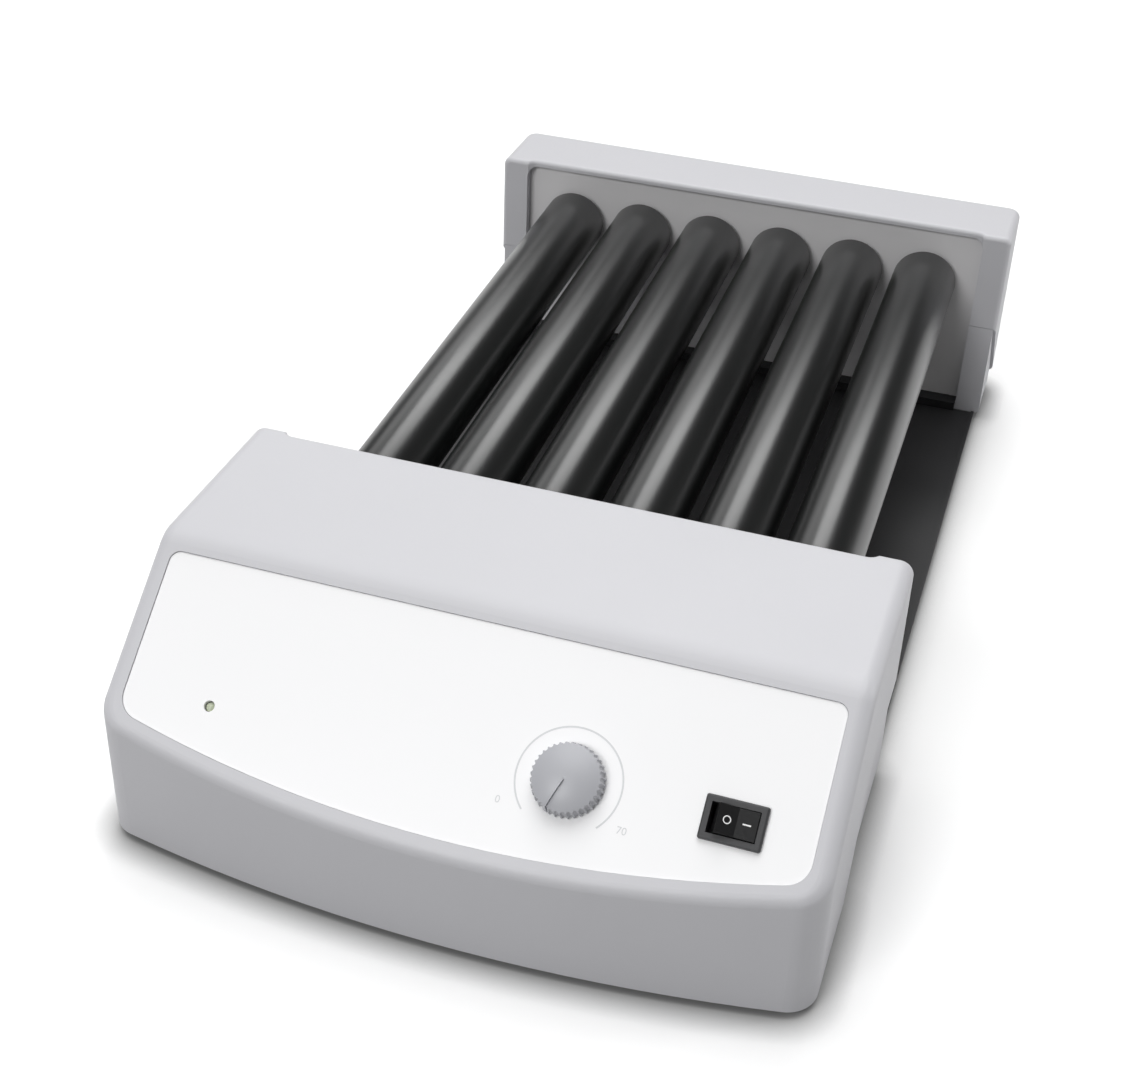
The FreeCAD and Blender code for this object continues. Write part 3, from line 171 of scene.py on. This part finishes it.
def close_material(tree, inputs):
    """Ends a material's tree in one Principled shader with these values and links."""
    shader = add(tree, "ShaderNodeBsdfPrincipled", inputs)
    add(tree, "ShaderNodeOutputMaterial", {"Surface": shader})


# Materials

def moulded(name, low, high, gloss, grain, depth, ior):
    """Moulded plastic or rubber: tool grain in the surface, and wide, faint changes of tone."""
    made, tree = new_material(name, low)
    place = add(tree, "ShaderNodeTexCoord").outputs["Object"]
    clouds = add(tree, "ShaderNodeTexNoise", {
        "Vector": place, "Scale": per_metre(PLASTIC_CLOUD), "Detail": CLOUD_DETAIL})
    tint = add(tree, "ShaderNodeMix", {
        "Factor": clouds, "A": linear(low), "B": linear(high)}, data_type="RGBA")
    tooth = add(tree, "ShaderNodeTexNoise", {
        "Vector": place, "Scale": per_metre(grain), "Detail": GRAIN_DETAIL})
    roughness = add(tree, "ShaderNodeMapRange", {
        "Value": tooth, "From Min": NOISE_LOW, "From Max": NOISE_HIGH,
        "To Min": gloss[0], "To Max": gloss[1]})
    bump = add(tree, "ShaderNodeBump", {"Height": tooth, "Distance": depth * MM, "Strength": 1.0})
    close_material(tree, {"Base Color": tint, "Roughness": roughness, "Normal": bump, "IOR": ior})
    return made


def powder_coat(name, low, high, roughness, peel, depth):
    """Powder coated sheet steel: an even, satin paint film with a fine orange peel."""
    made, tree = new_material(name, low)
    place = add(tree, "ShaderNodeTexCoord").outputs["Object"]
    clouds = add(tree, "ShaderNodeTexNoise", {
        "Vector": place, "Scale": per_metre(PAINT_CLOUD), "Detail": CLOUD_DETAIL})
    tint = add(tree, "ShaderNodeMix", {
        "Factor": clouds, "A": linear(low), "B": linear(high)}, data_type="RGBA")
    ripple = add(tree, "ShaderNodeTexNoise", {
        "Vector": place, "Scale": per_metre(peel), "Detail": PEEL_DETAIL})
    bump = add(tree, "ShaderNodeBump", {"Height": ripple, "Distance": depth * MM, "Strength": 1.0})
    close_material(tree, {"Base Color": tint, "Roughness": roughness, "Normal": bump, "IOR": 1.5})
    return made


def worked_metal(name, low, high, gloss, stretch, line):
    """Metal with a fine mottle, which an uneven stretch draws out into tool lines."""
    made, tree = new_material(name, low)
    place = add(tree, "ShaderNodeTexCoord").outputs["Object"]
    drawn = add(tree, "ShaderNodeMapping", {"Vector": place, "Scale": stretch})
    lines = add(tree, "ShaderNodeTexNoise", {
        "Vector": drawn, "Scale": per_metre(line), "Detail": GRAIN_DETAIL})
    tint = add(tree, "ShaderNodeMix", {
        "Factor": lines, "A": linear(low), "B": linear(high)}, data_type="RGBA")
    roughness = add(tree, "ShaderNodeMapRange", {
        "Value": lines, "From Min": NOISE_LOW, "From Max": NOISE_HIGH,
        "To Min": gloss[0], "To Max": gloss[1]})
    bump = add(tree, "ShaderNodeBump", {
        "Height": lines, "Distance": METAL_LINE_DEPTH * MM, "Strength": 1.0})
    close_material(tree, {"Base Color": tint, "Roughness": roughness, "Normal": bump, "Metallic": 1.0})
    return made


def ground_rubber(name, low, high, gloss, line, depth):
    """Rubber ground to size while it turned: charcoal, satin, with fine rings round the roller."""
    made, tree = new_material(name, low)
    place = add(tree, "ShaderNodeTexCoord").outputs["Object"]
    clouds = add(tree, "ShaderNodeTexNoise", {
        "Vector": place, "Scale": per_metre(RUBBER_CLOUD), "Detail": CLOUD_DETAIL})
    tint = add(tree, "ShaderNodeMix", {
        "Factor": clouds, "A": linear(low), "B": linear(high)}, data_type="RGBA")
    turned = add(tree, "ShaderNodeMapping", {"Vector": place, "Scale": RING_STRETCH})
    rings = add(tree, "ShaderNodeTexNoise", {
        "Vector": turned, "Scale": per_metre(line), "Detail": RING_DETAIL})
    roughness = add(tree, "ShaderNodeMapRange", {
        "Value": rings, "From Min": NOISE_LOW, "From Max": NOISE_HIGH,
        "To Min": gloss[0], "To Max": gloss[1]})
    bump = add(tree, "ShaderNodeBump", {"Height": rings, "Distance": depth * MM, "Strength": 1.0})
    close_material(tree, {
        "Base Color": tint, "Roughness": roughness, "Normal": bump, "IOR": 1.52,
        "Specular IOR Level": 0.85})
    return made


def circuit_laminate(name, mask, track):
    """Glass epoxy board under green solder mask, with paler lines where copper runs beneath it."""
    made, tree = new_material(name, mask)
    place = add(tree, "ShaderNodeTexCoord").outputs["Object"]
    cells = add(tree, "ShaderNodeTexVoronoi", {"Vector": place, "Scale": per_metre(TRACK_SPACING)},
                feature="DISTANCE_TO_EDGE", distance="MANHATTAN")
    between = add(tree, "ShaderNodeMapRange", {
        "Value": cells.outputs["Distance"], "From Min": TRACK_EDGE[0], "From Max": TRACK_EDGE[1]})
    tint = add(tree, "ShaderNodeMix", {
        "Factor": between, "A": linear(track), "B": linear(mask)}, data_type="RGBA")
    bump = add(tree, "ShaderNodeBump", {
        "Height": between, "Distance": TRACK_HEIGHT * MM, "Strength": 1.0})
    close_material(tree, {"Base Color": tint, "Roughness": 0.3, "Normal": bump, "IOR": 1.55})
    return made


def lamp_lens(name, middle, low, high):
    """Cast epoxy lens, milky and pale green while it is dark."""
    made, tree = new_material(name, middle)
    place = add(tree, "ShaderNodeTexCoord").outputs["Object"]
    milk = add(tree, "ShaderNodeTexNoise", {
        "Vector": place, "Scale": per_metre(LENS_CLOUD), "Detail": CLOUD_DETAIL})
    tint = add(tree, "ShaderNodeMix", {
        "Factor": milk, "A": linear(low), "B": linear(high)}, data_type="RGBA")
    close_material(tree, {
        "Base Color": tint, "Roughness": 0.22, "IOR": 1.55, "Transmission Weight": 0.15,
        "Subsurface Weight": 0.4, "Subsurface Radius": (0.002, 0.002, 0.0015)})
    return made


def ink(name, low, high):
    """Screen printed ink: flat and matt, a little thinner here and there."""
    made, tree = new_material(name, low)
    place = add(tree, "ShaderNodeTexCoord").outputs["Object"]
    film = add(tree, "ShaderNodeTexNoise", {
        "Vector": place, "Scale": per_metre(INK_CLOUD), "Detail": CLOUD_DETAIL})
    tint = add(tree, "ShaderNodeMix", {
        "Factor": film, "A": linear(low), "B": linear(high)}, data_type="RGBA")
    close_material(tree, {"Base Color": tint, "Roughness": 0.6, "IOR": 1.5})
    return made


# Real grain, peel and tool lines are finer than this, and are drawn coarse enough to show
finishes = {
    # ABS from an etched tool: pale cool grey, low gloss and an even tooth
    "cover_plastic": moulded("grained_abs_light_grey", "#C9C9CD", "#CDCDD1", (0.42, 0.52), 1.1, 0.02, 1.53),
    # The same ABS in the lower shells, a touch darker and duller
    "base_plastic": moulded("grained_abs_base_grey", "#C8C8CC", "#CCCCD0", (0.44, 0.54), 1.1, 0.02, 1.53),
    # Printed polycarbonate film: clean white with a faint velvet tooth
    "panel_white": moulded(
        "printed_polycarbonate_white", "#F9F9FA", "#FBFBFC", (0.34, 0.42), 0.9, 0.006, 1.58),
    # Powder coat on sheet steel: pale and satin, with a soft orange peel
    "plate_paint": powder_coat("powder_coat_pale_grey", "#DDDCDD", "#E2E1E2", 0.48, 1.4, 0.03),
    # The same coat in dark grey, and duller, so that the pan stays dark under the rollers: painted shade, standing
    # in for the shadow there
    "tray_paint": powder_coat("powder_coat_painted_shade_dark_grey", "#222224", "#262628", 0.55, 1.4, 0.03),
    # Sintered bronze: warm and dull, mottled by its pores
    "bush_bronze": worked_metal("sintered_bronze", "#B08A55", "#8F6C3E", (0.35, 0.5), (1, 1, 1), 0.8),
    # Zinc plated steel: cool and bright, faintly mottled
    "steel": worked_metal("zinc_plated_steel", "#C4C6C8", "#AEB0B3", (0.25, 0.4), (1, 1, 1), 0.8),
    # Nickel plated can: a warm grey shine with lines along the motor
    "motor_can": worked_metal("nickel_plated_can", "#C0BFBC", "#AFAEAB", (0.22, 0.34), (1, 0.05, 1), 0.6),
    # Moulded rubber: near black, with almost no shine
    "foot_rubber": moulded("moulded_foot_rubber", "#232324", "#2A2A2B", (0.65, 0.8), 1.2, 0.04, 1.52),
    # Plated control body: neutral and bright, with a finer mottle than the screws
    "pot_metal": worked_metal("plated_control_metal", "#BFC0C0", "#A6A7A8", (0.25, 0.4), (1, 1, 1), 0.5),
    # Cast epoxy: a milky dot of pale green with a little depth
    "led_lens": lamp_lens("cast_epoxy_lens", "#CDD5BD", "#C6CFB2", "#DCE2CE"),
    # Moulded nylon: charcoal black with a fine matt tooth on the switch's frame
    "switch_black": moulded("matt_black_nylon", "#38383A", "#3E3E40", (0.44, 0.56), 0.7, 0.03, 1.53),
    # Nylon from a polished tool: deeper black, with a soft shine on the rocker
    "rocker_black": moulded("smooth_black_nylon", "#1B1B1C", "#202021", (0.28, 0.34), 0.9, 0.008, 1.53),
    # Nylon again round the inlet: deep black and matt
    "inlet_black": moulded("inlet_black_nylon", "#1E1E1F", "#242425", (0.42, 0.55), 0.8, 0.03, 1.53),
    # Solder mask on glass epoxy: deep green and glossy, with paler tracks
    "board_laminate": circuit_laminate("green_circuit_laminate", "#1C5A34", "#2F7A4A"),
    # Moulded resin: dull charcoal blocks and cylinders
    "board_parts": moulded("moulded_component_resin", "#2A2A2C", "#333336", (0.5, 0.6), 1.0, 0.03, 1.55),
    # Natural nylon: creamy and faintly waxy
    "nylon": moulded("natural_nylon", "#E4E1D6", "#EBE8DE", (0.4, 0.5), 1.0, 0.01, 1.53),
    # Natural acetal: whiter and slicker than the nylon
    "gear_nylon": moulded("natural_acetal", "#E9E7DF", "#EFEDE6", (0.32, 0.4), 1.0, 0.01, 1.48),
    # Satin ABS, finer than the covers, so that the dome takes a soft sheen
    "knob_grey": moulded("satin_abs_light_grey", "#AEAFB4", "#B3B4B9", (0.36, 0.44), 0.8, 0.012, 1.53),
    # Ground rubber: charcoal, with long soft highlights along the rollers
    "roller_rubber": ground_rubber("ground_charcoal_rubber", "#141515", "#191A1A", (0.29, 0.31), 0.9, 0.002),
    # Drawn aluminium: pale and bright, with lines along the tube
    "core_aluminium": worked_metal("drawn_aluminium", "#D0D2D4", "#BDBFC2", (0.25, 0.4), (1, 0.04, 1), 0.6),
}
# Screen inks: flat and matt, a quiet grey on the white panel and a clear white on the rocker
GREY_INK = ink("screen_ink_light_grey", "#D6D7D9", "#DCDDDF")
WHITE_INK = ink("screen_ink_white", "#ECECEC", "#F4F4F4")

node_slots = {part["node"]: part["material_slot"] for part in frame["record"]["subparts"]}
for node_name, node in frame["nodes"].items():
    node.material_slots[0].material = finishes[node_slots[node_name]]


# Piece helpers

def joint(name):
    return next(j for j in frame["joints"] if j["name"] == name)


def new_object(name, mesh, material):
    made = bpy.data.objects.new(name, mesh)
    made.data.materials.clear()
    made.data.materials.append(material)
    bpy.context.scene.collection.objects.link(made)
    return made


def place_piece(piece, body, slot, *replaced):
    """Puts a piece on its body, and hides any CAD nodes that it stands for. The slot is not used."""
    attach(piece, body)
    if replaced:
        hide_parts(*replaced)


def plain_mesh(item):
    """What an object's modifiers or its curve make, as a mesh of its own."""
    return bpy.data.meshes.new_from_object(item.evaluated_get(bpy.context.evaluated_depsgraph_get()))


def mesh_of(bm, name):
    """A mesh from a bmesh, with outward faces."""
    bmesh.ops.recalc_face_normals(bm, faces=bm.faces[:])
    mesh = bpy.data.meshes.new(name)
    bm.to_mesh(mesh)
    bm.free()
    return mesh


def circle(radius, steps):
    turns = [2 * math.pi * i / steps for i in range(steps)]
    return [(radius * math.cos(a), radius * math.sin(a)) for a in turns]


def rectangle(length, width):
    half_x, half_y = length / 2, width / 2
    return [(-half_x, -half_y), (half_x, -half_y), (half_x, half_y), (-half_x, half_y)]


def prism(bm, outline, holes, low, high, matrix):
    """A flat plate between two heights, from an outline and at most one matching hole, in millimetres."""
    levels = []
    for z in (low, high):
        levels.append([[bm.verts.new(matrix @ (Vector((x, y, z)) * MM)) for x, y in loop]
                       for loop in [outline] + holes])
    for lower, upper in zip(*levels):
        for i in range(len(lower)):
            j = (i + 1) % len(lower)
            bm.faces.new((lower[i], lower[j], upper[j], upper[i]))
    for level in levels:
        if holes:
            for i in range(len(outline)):
                j = (i + 1) % len(outline)
                bm.faces.new((level[0][i], level[0][j], level[1][j], level[1][i]))
        else:
            bm.faces.new(level[0])


def facing(place, up):
    """A frame on the panel: x to the right, y up the slope, z out of it."""
    across = Vector((1, 0, 0))
    out = across.cross(up)
    columns = Matrix((across, up, out)).transposed().to_4x4()
    return Matrix.Translation(place) @ columns


knob_joint = joint("knob_turn")
rocker_joint = joint("rocker_tilt")
slope_up = -Vector(rocker_joint["axis"])
dial_frame = facing(Vector(knob_joint["pos_m"]), slope_up)
rocker_frame = facing(Vector(rocker_joint["pos_m"]), slope_up)
rocker_frame = rocker_frame @ Matrix.Rotation(math.radians(ROCKER_TILT), 4, "Y")


# Dial print and rocker marks

def dial_ring():
    """The printed line round the knob, open at the bottom."""
    bm = bmesh.new()
    inner = DIAL_RADIUS - DIAL_LINE / 2
    outer = DIAL_RADIUS + DIAL_LINE / 2
    corners = [(radius, z) for z in (-PANEL_RECESS, INK - PANEL_RECESS) for radius in (inner, outer)]
    rows = []
    for i in range(DIAL_STEPS + 1):
        turn = math.radians(DIAL_START + (DIAL_END - DIAL_START) * i / DIAL_STEPS)
        rows.append([bm.verts.new(dial_frame @ (Vector((r * math.cos(turn), r * math.sin(turn), z)) * MM))
                     for r, z in corners])
    for a, b in zip(rows, rows[1:]):
        for i, j in ((0, 1), (1, 3), (3, 2), (2, 0)):
            bm.faces.new((a[i], a[j], b[j], b[i]))
    for end in (rows[0], rows[-1]):
        bm.faces.new((end[0], end[1], end[3], end[2]))
    return mesh_of(bm, "dial_ring")


def number(text, x, y):
    """A number printed on the panel, centred on a place given from the knob."""
    curve = bpy.data.curves.new("number_" + text, "FONT")
    curve.body = text
    curve.align_x = "CENTER"
    curve.align_y = "CENTER"
    curve.size = NUMBER_HEIGHT * MM
    curve.extrude = INK * MM / 2
    lettering = bpy.data.objects.new("number_" + text, curve)
    bpy.context.scene.collection.objects.link(lettering)
    mesh = plain_mesh(lettering)
    bpy.data.objects.remove(lettering)
    height = INK / 2 - PANEL_RECESS
    mesh.transform(dial_frame @ Matrix.Translation(Vector((x, y, height)) * MM))
    return mesh


def rocker_marks():
    """A ring on the end that stands up and a bar on the end that is pressed in."""
    bm = bmesh.new()
    lean = math.atan2(ROCKER_DIP, ROCKER_HALF)
    outer, inner = [circle(radius, MARK_STEPS) for radius in MARK_RING]
    for x, outline, holes in ((LOW_MARK_X, outer, [inner]), (HIGH_MARK_X, rectangle(*MARK_BAR), [])):
        z = ROCKER_EDGE - ROCKER_DIP * (1 - abs(x) / ROCKER_HALF)
        turn = Matrix.Rotation(-math.copysign(lean, x), 4, "Y")
        matrix = rocker_frame @ Matrix.Translation(Vector((x, 0, z)) * MM) @ turn
        prism(bm, outline, holes, 0, INK, matrix)
    return mesh_of(bm, "rocker_marks")


place_piece(new_object("dial_ring", dial_ring(), GREY_INK), "frame", "panel_white")
for text, x, y in (LOW_NUMBER, HIGH_NUMBER):
    place_piece(new_object("dial_number_" + text, number(text, x, y), GREY_INK), "frame", "panel_white")
place_piece(new_object("rocker_marks", rocker_marks(), WHITE_INK), "rocker", "rocker_black")


# Geometry node trees

def new_tree(name, sockets):
    """A tree with the named inputs, those inputs as sockets, and its output node."""
    tree = bpy.data.node_groups.new(name, "GeometryNodeTree")
    tree.interface.new_socket("Geometry", in_out="OUTPUT", socket_type="NodeSocketGeometry")
    for label, kind in sockets:
        tree.interface.new_socket(label, in_out="INPUT", socket_type="NodeSocket" + kind)
    return tree, tree.nodes.new("NodeGroupInput").outputs, tree.nodes.new("NodeGroupOutput")


def close_tree(tree, output, geometry, finish):
    """Ends a tree in real geometry with its material."""
    real = add(tree, "GeometryNodeRealizeInstances", {"Geometry": geometry})
    painted = add(tree, "GeometryNodeSetMaterial", {"Geometry": real, "Material": finish})
    tree.links.new(painted.outputs["Geometry"], output.inputs["Geometry"])
    return tree


def grown(name, mesh, tree, values):
    """The plain mesh that a tree makes from a mesh and its named input values."""
    holder = bpy.data.objects.new(name, mesh)
    modifier = holder.modifiers.new("grow", "NODES")
    modifier.node_group = tree
    for item in tree.interface.items_tree:
        if item.in_out == "INPUT" and item.name in values:
            modifier[item.identifier] = values[item.name]
    bpy.context.scene.collection.objects.link(holder)
    result = plain_mesh(holder)
    bpy.data.objects.remove(holder)
    return result


def sleeve_tree():
    """A sleeve turned about z: a round-cornered section of its wall, swept round a circle."""
    tree, given, output = new_tree("roller_sleeve", (
        ("Length", "Float"), ("Outside", "Float"), ("Bore", "Float"), ("Rounding", "Float"),
        ("Steps", "Int"), ("Finish", "Material")))
    diameters = {"Value": given["Outside"], "Value_001": given["Bore"]}
    # The radius at the middle of the wall is a quarter of the two diameters' sum
    both = add(tree, "ShaderNodeMath", diameters, operation="ADD")
    middle = add(tree, "ShaderNodeMath", {"Value": both, "Value_001": 4.0}, operation="DIVIDE")
    # The wall is half of their difference
    gap = add(tree, "ShaderNodeMath", diameters, operation="SUBTRACT")
    wall = add(tree, "ShaderNodeMath", {"Value": gap, "Value_001": 2.0}, operation="DIVIDE")
    ring = add(tree, "GeometryNodeCurvePrimitiveCircle", {"Resolution": given["Steps"], "Radius": middle})
    section = add(tree, "GeometryNodeCurvePrimitiveQuadrilateral", {
        "Width": wall, "Height": given["Length"]})
    section = add(tree, "GeometryNodeFilletCurve", {
        "Curve": section, "Radius": given["Rounding"], "Count": ROUNDING_STEPS}, mode="POLY")
    swept = add(tree, "GeometryNodeCurveToMesh", {"Curve": ring, "Profile Curve": section})
    smooth = add(tree, "GeometryNodeSetShadeSmooth", {"Geometry": swept})
    return close_tree(tree, output, smooth, given["Finish"])


def repeat_tree():
    """One shape set on every point, each turned by its own amount about z."""
    tree, given, output = new_tree("repeat_at_points", (
        ("Points", "Geometry"), ("Shape", "Object"), ("Largest Turn", "Float"), ("Seed", "Int"),
        ("Finish", "Material")))
    shape = add(tree, "GeometryNodeObjectInfo", {"Object": given["Shape"]})
    turn = add(tree, "FunctionNodeRandomValue", {"Max": given["Largest Turn"], "Seed": given["Seed"]},
               data_type="FLOAT")
    angles = add(tree, "ShaderNodeCombineXYZ", {"Z": turn})
    rotation = add(tree, "FunctionNodeEulerToRotation", {"Euler": angles})
    placed = add(tree, "GeometryNodeInstanceOnPoints", {
        "Points": given["Points"], "Instance": shape.outputs["Geometry"], "Rotation": rotation})
    return close_tree(tree, output, placed, given["Finish"])


def lathe(name, outline, steps):
    """A turned shape from radius and height pairs in millimetres that start and end on its axis."""
    bm = bmesh.new()
    rings = []
    for radius, z in outline:
        spots = circle(radius, steps) if radius else [(0, 0)]
        rings.append([bm.verts.new((x * MM, y * MM, z * MM)) for x, y in spots])
    for low, high in zip(rings, rings[1:]):
        for i in range(steps):
            j = i + 1
            corners = [low[i % len(low)], low[j % len(low)], high[j % len(high)], high[i % len(high)]]
            bm.faces.new(list(dict.fromkeys(corners)))
    return mesh_of(bm, name)


def cross_recess(mesh):
    """Cuts a cross recess into the underside of a screw head."""
    bm = bmesh.new()
    for arm in (RECESS, RECESS[::-1]):
        prism(bm, rectangle(*arm), [], -SCREW_HEAD - CUT_PAST, RECESS_DEPTH - SCREW_HEAD,
              Matrix.Identity(4))
    cutter = bpy.data.objects.new("recess_cutter", mesh_of(bm, "recess_cutter"))
    head = bpy.data.objects.new("recess_head", mesh)
    for item in (cutter, head):
        bpy.context.scene.collection.objects.link(item)
    cut = head.modifiers.new("cut", "BOOLEAN")
    cut.operation = "DIFFERENCE"
    cut.use_self = True
    cut.object = cutter
    result = plain_mesh(head)
    for item in (cutter, head):
        bpy.data.objects.remove(item)
    return result


def repeated(name, shape_mesh, places, z, turn, slot):
    """One piece with a shape at every place."""
    shape = bpy.data.objects.new(name + "_shape", shape_mesh)
    bpy.context.scene.collection.objects.link(shape)
    points = bpy.data.meshes.new(name)
    points.from_pydata([(x * MM, y * MM, z * MM) for x, y in places], [], [])
    mesh = grown(name + "_points", points, REPEAT, {
        "Shape": shape, "Largest Turn": turn, "Seed": TURN_SEED, "Finish": finishes[slot]})
    bpy.data.objects.remove(shape)
    return new_object(name, mesh, finishes[slot])


REPEAT = repeat_tree()
SLEEVE = sleeve_tree()

for number_of_roller in range(1, ROLLERS + 1):
    roller = "roller_%d" % number_of_roller
    sleeve = grown(roller + "_holder", bpy.data.meshes.new(roller), SLEEVE, {
        "Length": ROLLER_LENGTH * MM, "Outside": ROLLER_DIAMETER * MM, "Bore": SLEEVE_BORE * MM,
        "Rounding": SLEEVE_END_ROUNDING * MM, "Steps": SLEEVE_STEPS, "Finish": finishes["roller_rubber"]})
    turn = Matrix.Rotation(math.radians(ROLLER_LEAN - 90), 4, "X")
    sleeve.transform(Matrix.Translation(joint(roller + "_spin")["pos_m"]) @ turn)
    piece = new_object(roller + "_rubber", sleeve, finishes["roller_rubber"])
    place_piece(piece, roller, "roller_rubber", roller + "_sleeve")

foot = lathe("foot", FOOT_OUTLINE, FOOT_STEPS)
feet = repeated("ringed_feet", foot, FOOT_PLACES, 0, 0.0, "foot_rubber")
place_piece(feet, "frame", "foot_rubber", "rubber_feet")
screw = cross_recess(lathe("screw", SCREW_OUTLINE, SCREW_STEPS))
screws = repeated("cross_head_screws", screw, SCREW_PLACES, FOOT_HEIGHT, math.pi, "steel")
place_piece(screws, "frame", "steel", "cover_screws")


# Light, floor and camera

def lamp(name, kind, place, aim, energy, **settings):
    data = bpy.data.lights.new(name, kind)
    data.energy = energy
    for key, value in settings.items():
        setattr(data, key, value)
    made = bpy.data.objects.new(name, data)
    made.location = place
    made.rotation_euler = (Vector(aim) - Vector(place)).to_track_quat("-Z", "Y").to_euler()
    bpy.context.scene.collection.objects.link(made)


def softbox(name, place, aim, energy, width, height):
    lamp(name, "AREA", place, aim, energy, shape="RECTANGLE", size=width, size_y=height)


def seen_directly(tree):
    """One for rays that should see the plain white background: camera, mirror and glass rays."""
    path = add(tree, "ShaderNodeLightPath").outputs
    first = add(tree, "ShaderNodeMath", {
        "Value": path["Is Camera Ray"], "Value_001": path["Is Glossy Ray"]}, operation="MAXIMUM")
    return add(tree, "ShaderNodeMath", {
        "Value": first, "Value_001": path["Is Transmission Ray"]}, operation="MAXIMUM")


def studio_world():
    """White to just above the horizon, with a dim ceiling over it."""
    world = bpy.data.worlds.new("studio")
    world.use_nodes = True
    tree = world.node_tree
    tree.nodes.clear()
    place = add(tree, "ShaderNodeTexCoord").outputs["Generated"]
    height = add(tree, "ShaderNodeSeparateXYZ", {"Vector": place}).outputs["Z"]
    backdrop = add(tree, "ShaderNodeMapRange", {
        "Value": height, "From Min": math.sin(math.radians(WHITE_TO)),
        "From Max": math.sin(math.radians(DIM_FROM)), "To Min": 1.0, "To Max": CEILING_LEVEL},
        interpolation_type="SMOOTHSTEP")
    dim = add(tree, "ShaderNodeBackground", {"Color": linear("#FFFFFF"), "Strength": SKY_LEVEL})
    white = add(tree, "ShaderNodeBackground", {"Color": linear("#FFFFFF"), "Strength": backdrop})
    mixed = add(tree, "ShaderNodeMixShader", {
        "Fac": seen_directly(tree), "Shader": dim, "Shader_001": white})
    add(tree, "ShaderNodeOutputWorld", {"Surface": mixed})
    bpy.context.scene.world = world


def studio_floor():
    """A wide pale floor that takes the object's soft shadow from the lamps and a painted shadow close under it,
    and throws back less light than it shows.
    """
    bm = bmesh.new()
    bmesh.ops.create_grid(bm, x_segments=1, y_segments=1, size=FLOOR_HALF)
    made, tree = new_material("studio_floor", FLOOR_WHITE)
    seen = seen_directly(tree)
    # Painted shadow: where ambient occlusion finds the object close, the floor's seen colour darkens and its glow
    # fades
    painted_shadow_ao = add(tree, "ShaderNodeAmbientOcclusion", {"Distance": PAINTED_SHADOW_REACH * MM}).outputs["AO"]
    outside_painted_shadow = add(tree, "ShaderNodeMath", {
        "Value": painted_shadow_ao, "Value_001": PAINTED_SHADOW_FALL}, operation="POWER")
    shown_with_painted_shadow = add(tree, "ShaderNodeMix", {
        "Factor": outside_painted_shadow, "A": linear(FLOOR_PAINTED_SHADOW), "B": linear(FLOOR_WHITE)}, data_type="RGBA")
    colour = add(tree, "ShaderNodeMix", {
        "Factor": seen, "A": linear(FLOOR_BOUNCE), "B": shown_with_painted_shadow}, data_type="RGBA")
    bright = add(tree, "ShaderNodeMath", {"Value": seen, "Value_001": outside_painted_shadow}, operation="MULTIPLY")
    glow = add(tree, "ShaderNodeMath", {"Value": bright, "Value_001": FLOOR_GLOW}, operation="MULTIPLY")
    close_material(tree, {
        "Base Color": colour, "Roughness": 0.9, "Specular IOR Level": 0.0,
        "Emission Color": linear("#FFFFFF"), "Emission Strength": glow})
    floor = new_object("studio_floor", mesh_of(bm, "studio_floor"), made)


def photo_camera():
    data = bpy.data.cameras.new("photo_camera")
    data.sensor_fit = "HORIZONTAL"
    data.sensor_width = SENSOR
    data.lens = FOCAL_PIXELS / PHOTO_WIDTH * SENSOR
    data.clip_start = NEAREST
    made = bpy.data.objects.new("photo_camera", data)
    up = CAMERA_RIGHT.cross(CAMERA_FORWARD)
    axes = Matrix((CAMERA_RIGHT, up, -CAMERA_FORWARD)).transposed().to_4x4()
    made.matrix_world = Matrix.Translation(CAMERA_PLACE) @ axes
    bpy.context.scene.collection.objects.link(made)
    bpy.context.scene.camera = made


studio_world()
studio_floor()
photo_camera()
# Places, aims and sizes in metres, a softbox's strength in watts, the sun's in watts per square metre
lamp("key_softbox", "SUN", (-0.10, 0.12, 0.985), (0, 0, 0), 1.70, angle=math.radians(55))
softbox("front_fill", (-0.7, -2.26, 1.73), (0, -0.2, 0.05), 30.3, 1.2, 0.9)
softbox("back_softbox", (-0.45, 3.45, 3.3), (0, 0.05, 0.07), 43.0, 2.1, 1.0)
softbox("left_wing", (-2.3, 3.4, 2.35), (0, 0.05, 0.07), 13.0, 2.0, 1.2)
softbox("right_strip", (1.3, 0.45, 0.30), (0, 0.0, 0.05), 5.0, 0.3, 0.9)

scene = bpy.context.scene
scene.view_settings.view_transform = "Standard"
